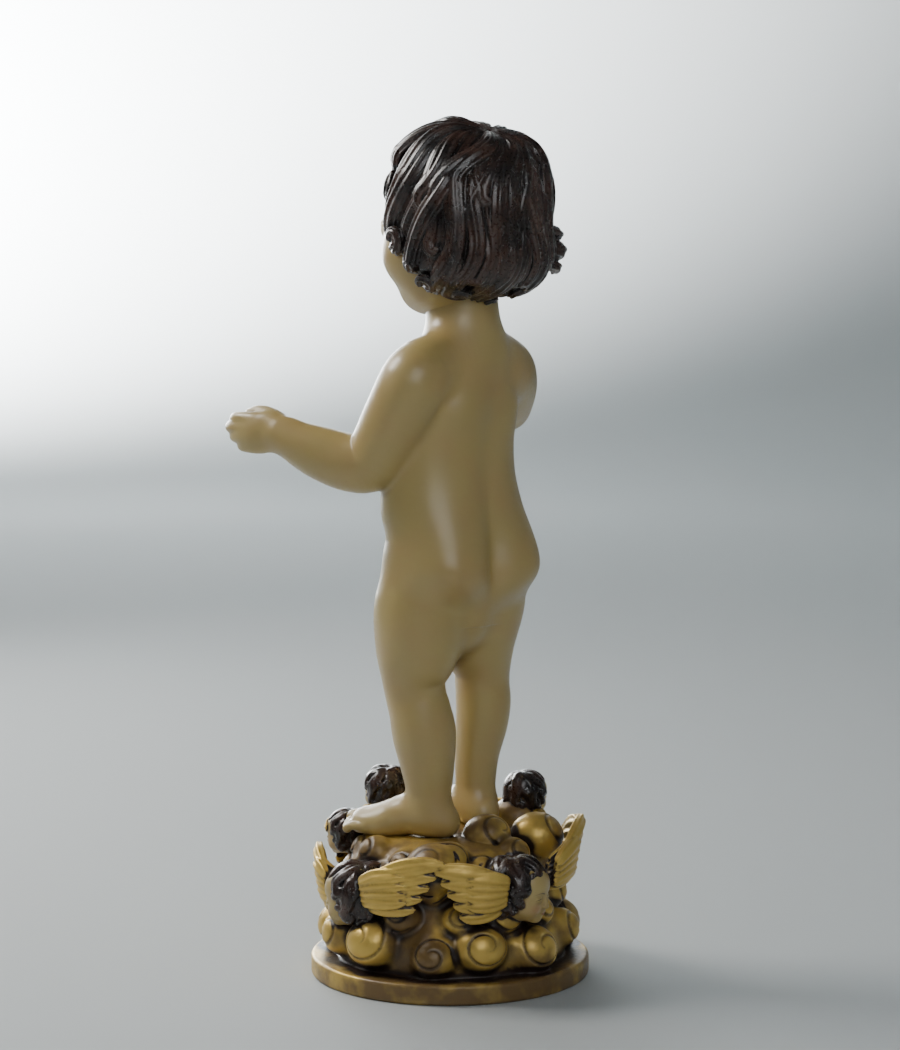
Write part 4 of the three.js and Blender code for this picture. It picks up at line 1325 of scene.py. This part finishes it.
def rim_distance(x, y, z):
    """The plinth's edge, with rounded corners."""
    wide = np.hypot(x, y) - (BASE_RADIUS - RIM_ROUND)
    high = np.abs(z - RIM_HEIGHT / 2) - (RIM_HEIGHT / 2 - RIM_ROUND)
    outside = np.hypot(np.maximum(wide, 0), np.maximum(high, 0))
    return outside + np.minimum(np.maximum(wide, high), 0) - RIM_ROUND


cloud = Clay(base_low, base_high, BASE_CELL)
cloud.add(Form((-51, -51, 0), (51, 51, 54), cloud_distance))
cloud.add(Form((-49, -49, 0), (49, 49, 7), rim_distance), 0.8)
BILLOW_FLATNESS = 0.9
CURL_TURNS = 1.35
CURL_STEPS = 16
curl_grooves = []


def billow(angle, out, height, size, blend, spin, tilt=0.35):
    """A round billow of cloud. A curl is carved on its outer side, one way round or the other, and faces up
    by its tilt."""
    middle = np.array(on_base(angle, out, height))
    cloud.add(egg(middle, (size, size, size * BILLOW_FLATNESS)), blend)
    outer = unit_vector(*on_base(angle, 1.0, tilt))
    sideways = unit_vector(*on_base(angle + 90, 1.0, 0))
    up = np.cross(outer, sideways)
    groove = []
    for k in range(CURL_STEPS + 1):
        turn = spin * 2 * math.pi * CURL_TURNS * k / CURL_STEPS + 0.8 * size
        slant = math.radians(68 - 3.4 * k)
        ring = sideways * math.cos(turn) + up * math.sin(turn)
        flatten = np.array([1, 1, BILLOW_FLATNESS])
        spot = middle + (outer * math.cos(slant) + ring * math.sin(slant)) * size * flatten
        groove.append([*spot, 0.1 + 0.35 * math.sin(math.pi * k / CURL_STEPS)])
    curl_grooves.append(limb(groove, steps=2))


# Puffs on the top, each as [degrees round, distance out, height from the soles, radius].
TOP_PUFFS = [
    (97, 17.6, 0.5, 8.5),
    (-81, 27.9, 1.5, 9.5),
    (176, 29.9, 0.5, 9.5),
    (130, 30.9, -1, 9.5),
    (40, 32.3, -7, 10),
]
for angle, out, height, radius in TOP_PUFFS:
    billow(angle, out, BASE_HEIGHT + height, radius, 1.5, -1, tilt=0.75)

# Rows of billows up the side, each as [how many, distance out, height, radius, degrees round of the first].
BILLOW_ROWS = [
    (12, 38.4, 15.5, 8.8, 8),
    (12, 34.5, 26.5, 7.0, 22),
    (11, 31.0, 36.5, 6.8, 3),
    (13, 28.5, 44.2, 6.2, 18),
]
for count, out, height, radius, turn in BILLOW_ROWS:
    for i in range(count):
        size = radius * (1 + 0.14 * math.sin(2.4 * i + turn))
        around = turn + 360 * i / count + 4 * math.sin(1.9 * i)
        billow(around, out, height + 1.6 * math.sin(2.9 * i + turn), size, 2.0, 1 if i % 2 else -1)
for groove in curl_grooves:
    cloud.carve(groove, 0.7)
foot_pose = Matrix.Translation((0, 0, BASE_HEIGHT))
feet = body.form(foot_pose, UNIT * 1000, FOOT_CLEARANCE)
sole = BASE_HEIGHT - SOLE_GAP


def standing_room(x, y, z):
    """The room that is cut out for the feet, down to the flat places under the soles."""
    return np.maximum(feet.distance(x, y, np.maximum(z, BASE_HEIGHT + 0.5)), sole - z)


for clay in (cloud, wings, faces, curls):
    clay.carve(Form((-40, -50, sole), (50, 45, 74), standing_room))

whole = Clay(base_low, base_high, BASE_CELL)
for clay in (cloud, wings, faces, curls):
    np.minimum(whole.field, clay.field, out=whole.field)

# GOLD_SHADE shows through the wings' thin gold and in their shallow hollows, and CLOUD_SHADE fills the deep
# hollows of both gilt paints: painted shade, over the bare ground that the gold left there.
GOLD = srgb(226, 190, 98)
GOLD_SHADE = srgb(74, 46, 20)
GOLD_SHINE = 0.62
CLOUD_BROWN = srgb(84, 60, 42)
CLOUD_SHADE = srgb(40, 27, 22)


def gilding(name, bare, thin, thick):
    """Gold brushed over a brown ground, from thin to thick in patches. The recesses get no gold and are
    painted dark brown: painted shade, and the bare ground left there.
    """
    material, shader = new_material(name, GOLD, 0.36)
    tree = material.node_tree
    hollows = use_group(tree, crease, Scale=170.0, Start=0.02, End=0.42, Depth=1.0, Unevenness=0.3)["Mask"]
    patches = use_group(tree, mottle, Scale=42.0, Low=0.42, High=0.6, Amount=thick - thin)["Mask"]
    amount = math_node(tree, "ADD", patches, thin)
    gold = math_node(tree, "MULTIPLY", math_node(tree, "SUBTRACT", 1.0, hollows), amount)
    colour = mixed(tree, gold, mixed(tree, hollows, bare, CLOUD_SHADE), GOLD)
    connect(tree, math_node(tree, "MULTIPLY", gold, GOLD_SHINE), shader.inputs["Metallic"])
    lay_paint(tree, shader, colour, Scale=1100.0, Smooth=0.28, Rough=0.46, Strength=0.14)
    return material


# A winged head's face is laid out closer than the child's, so its places are spread to the child's layout.
FACE_SPREAD = np.array([2.76, 2.4, 3.18])
FACE_DROP = np.array([0.0, 0.0, -1.81])


def cherub_places(points):
    """Each point's place on the nearest winged head."""
    nearest = np.full(len(points), np.inf)
    places = np.zeros((len(points), 3))
    for pose, scale in placed_heads:
        back = np.array(pose.inverted())
        local = (points @ back[:3, :3].T + back[:3, 3]) / scale
        apart = np.linalg.norm(local, axis=1)
        closer = apart < nearest
        nearest[closer] = apart[closer]
        places[closer] = local[closer]
    return places * FACE_SPREAD + FACE_DROP


MILLIMETRE = 0.001
base_pose = Matrix.Scale(MILLIMETRE, 4)
for clay, name, faces_in_all, material, slot in (
    (cloud, "cloud", 130000, gilding("antique cloud paint", CLOUD_BROWN, 0.12, 0.85), "gilt_paint"),
    (wings, "cherub_wings", 110000, gilding("gilt paint", GOLD_SHADE, 0.8, 1.0), "gilt_paint"),
    (faces, "cherub_faces", 80000, painted_face("cherub face paint", 1.0), "flesh_paint"),
    (curls, "cherub_curls", 120000, hair_paint, "gilt_paint"),
):
    piece = cast(clay, name, faces_in_all, material)
    mark_recesses(piece, whole, (0.6, 1.6, 3.6))
    if clay is faces:
        mark_face(piece, cherub_places(points_of(piece)))
    finish_piece(piece, base_pose, slot, "cloud_base")
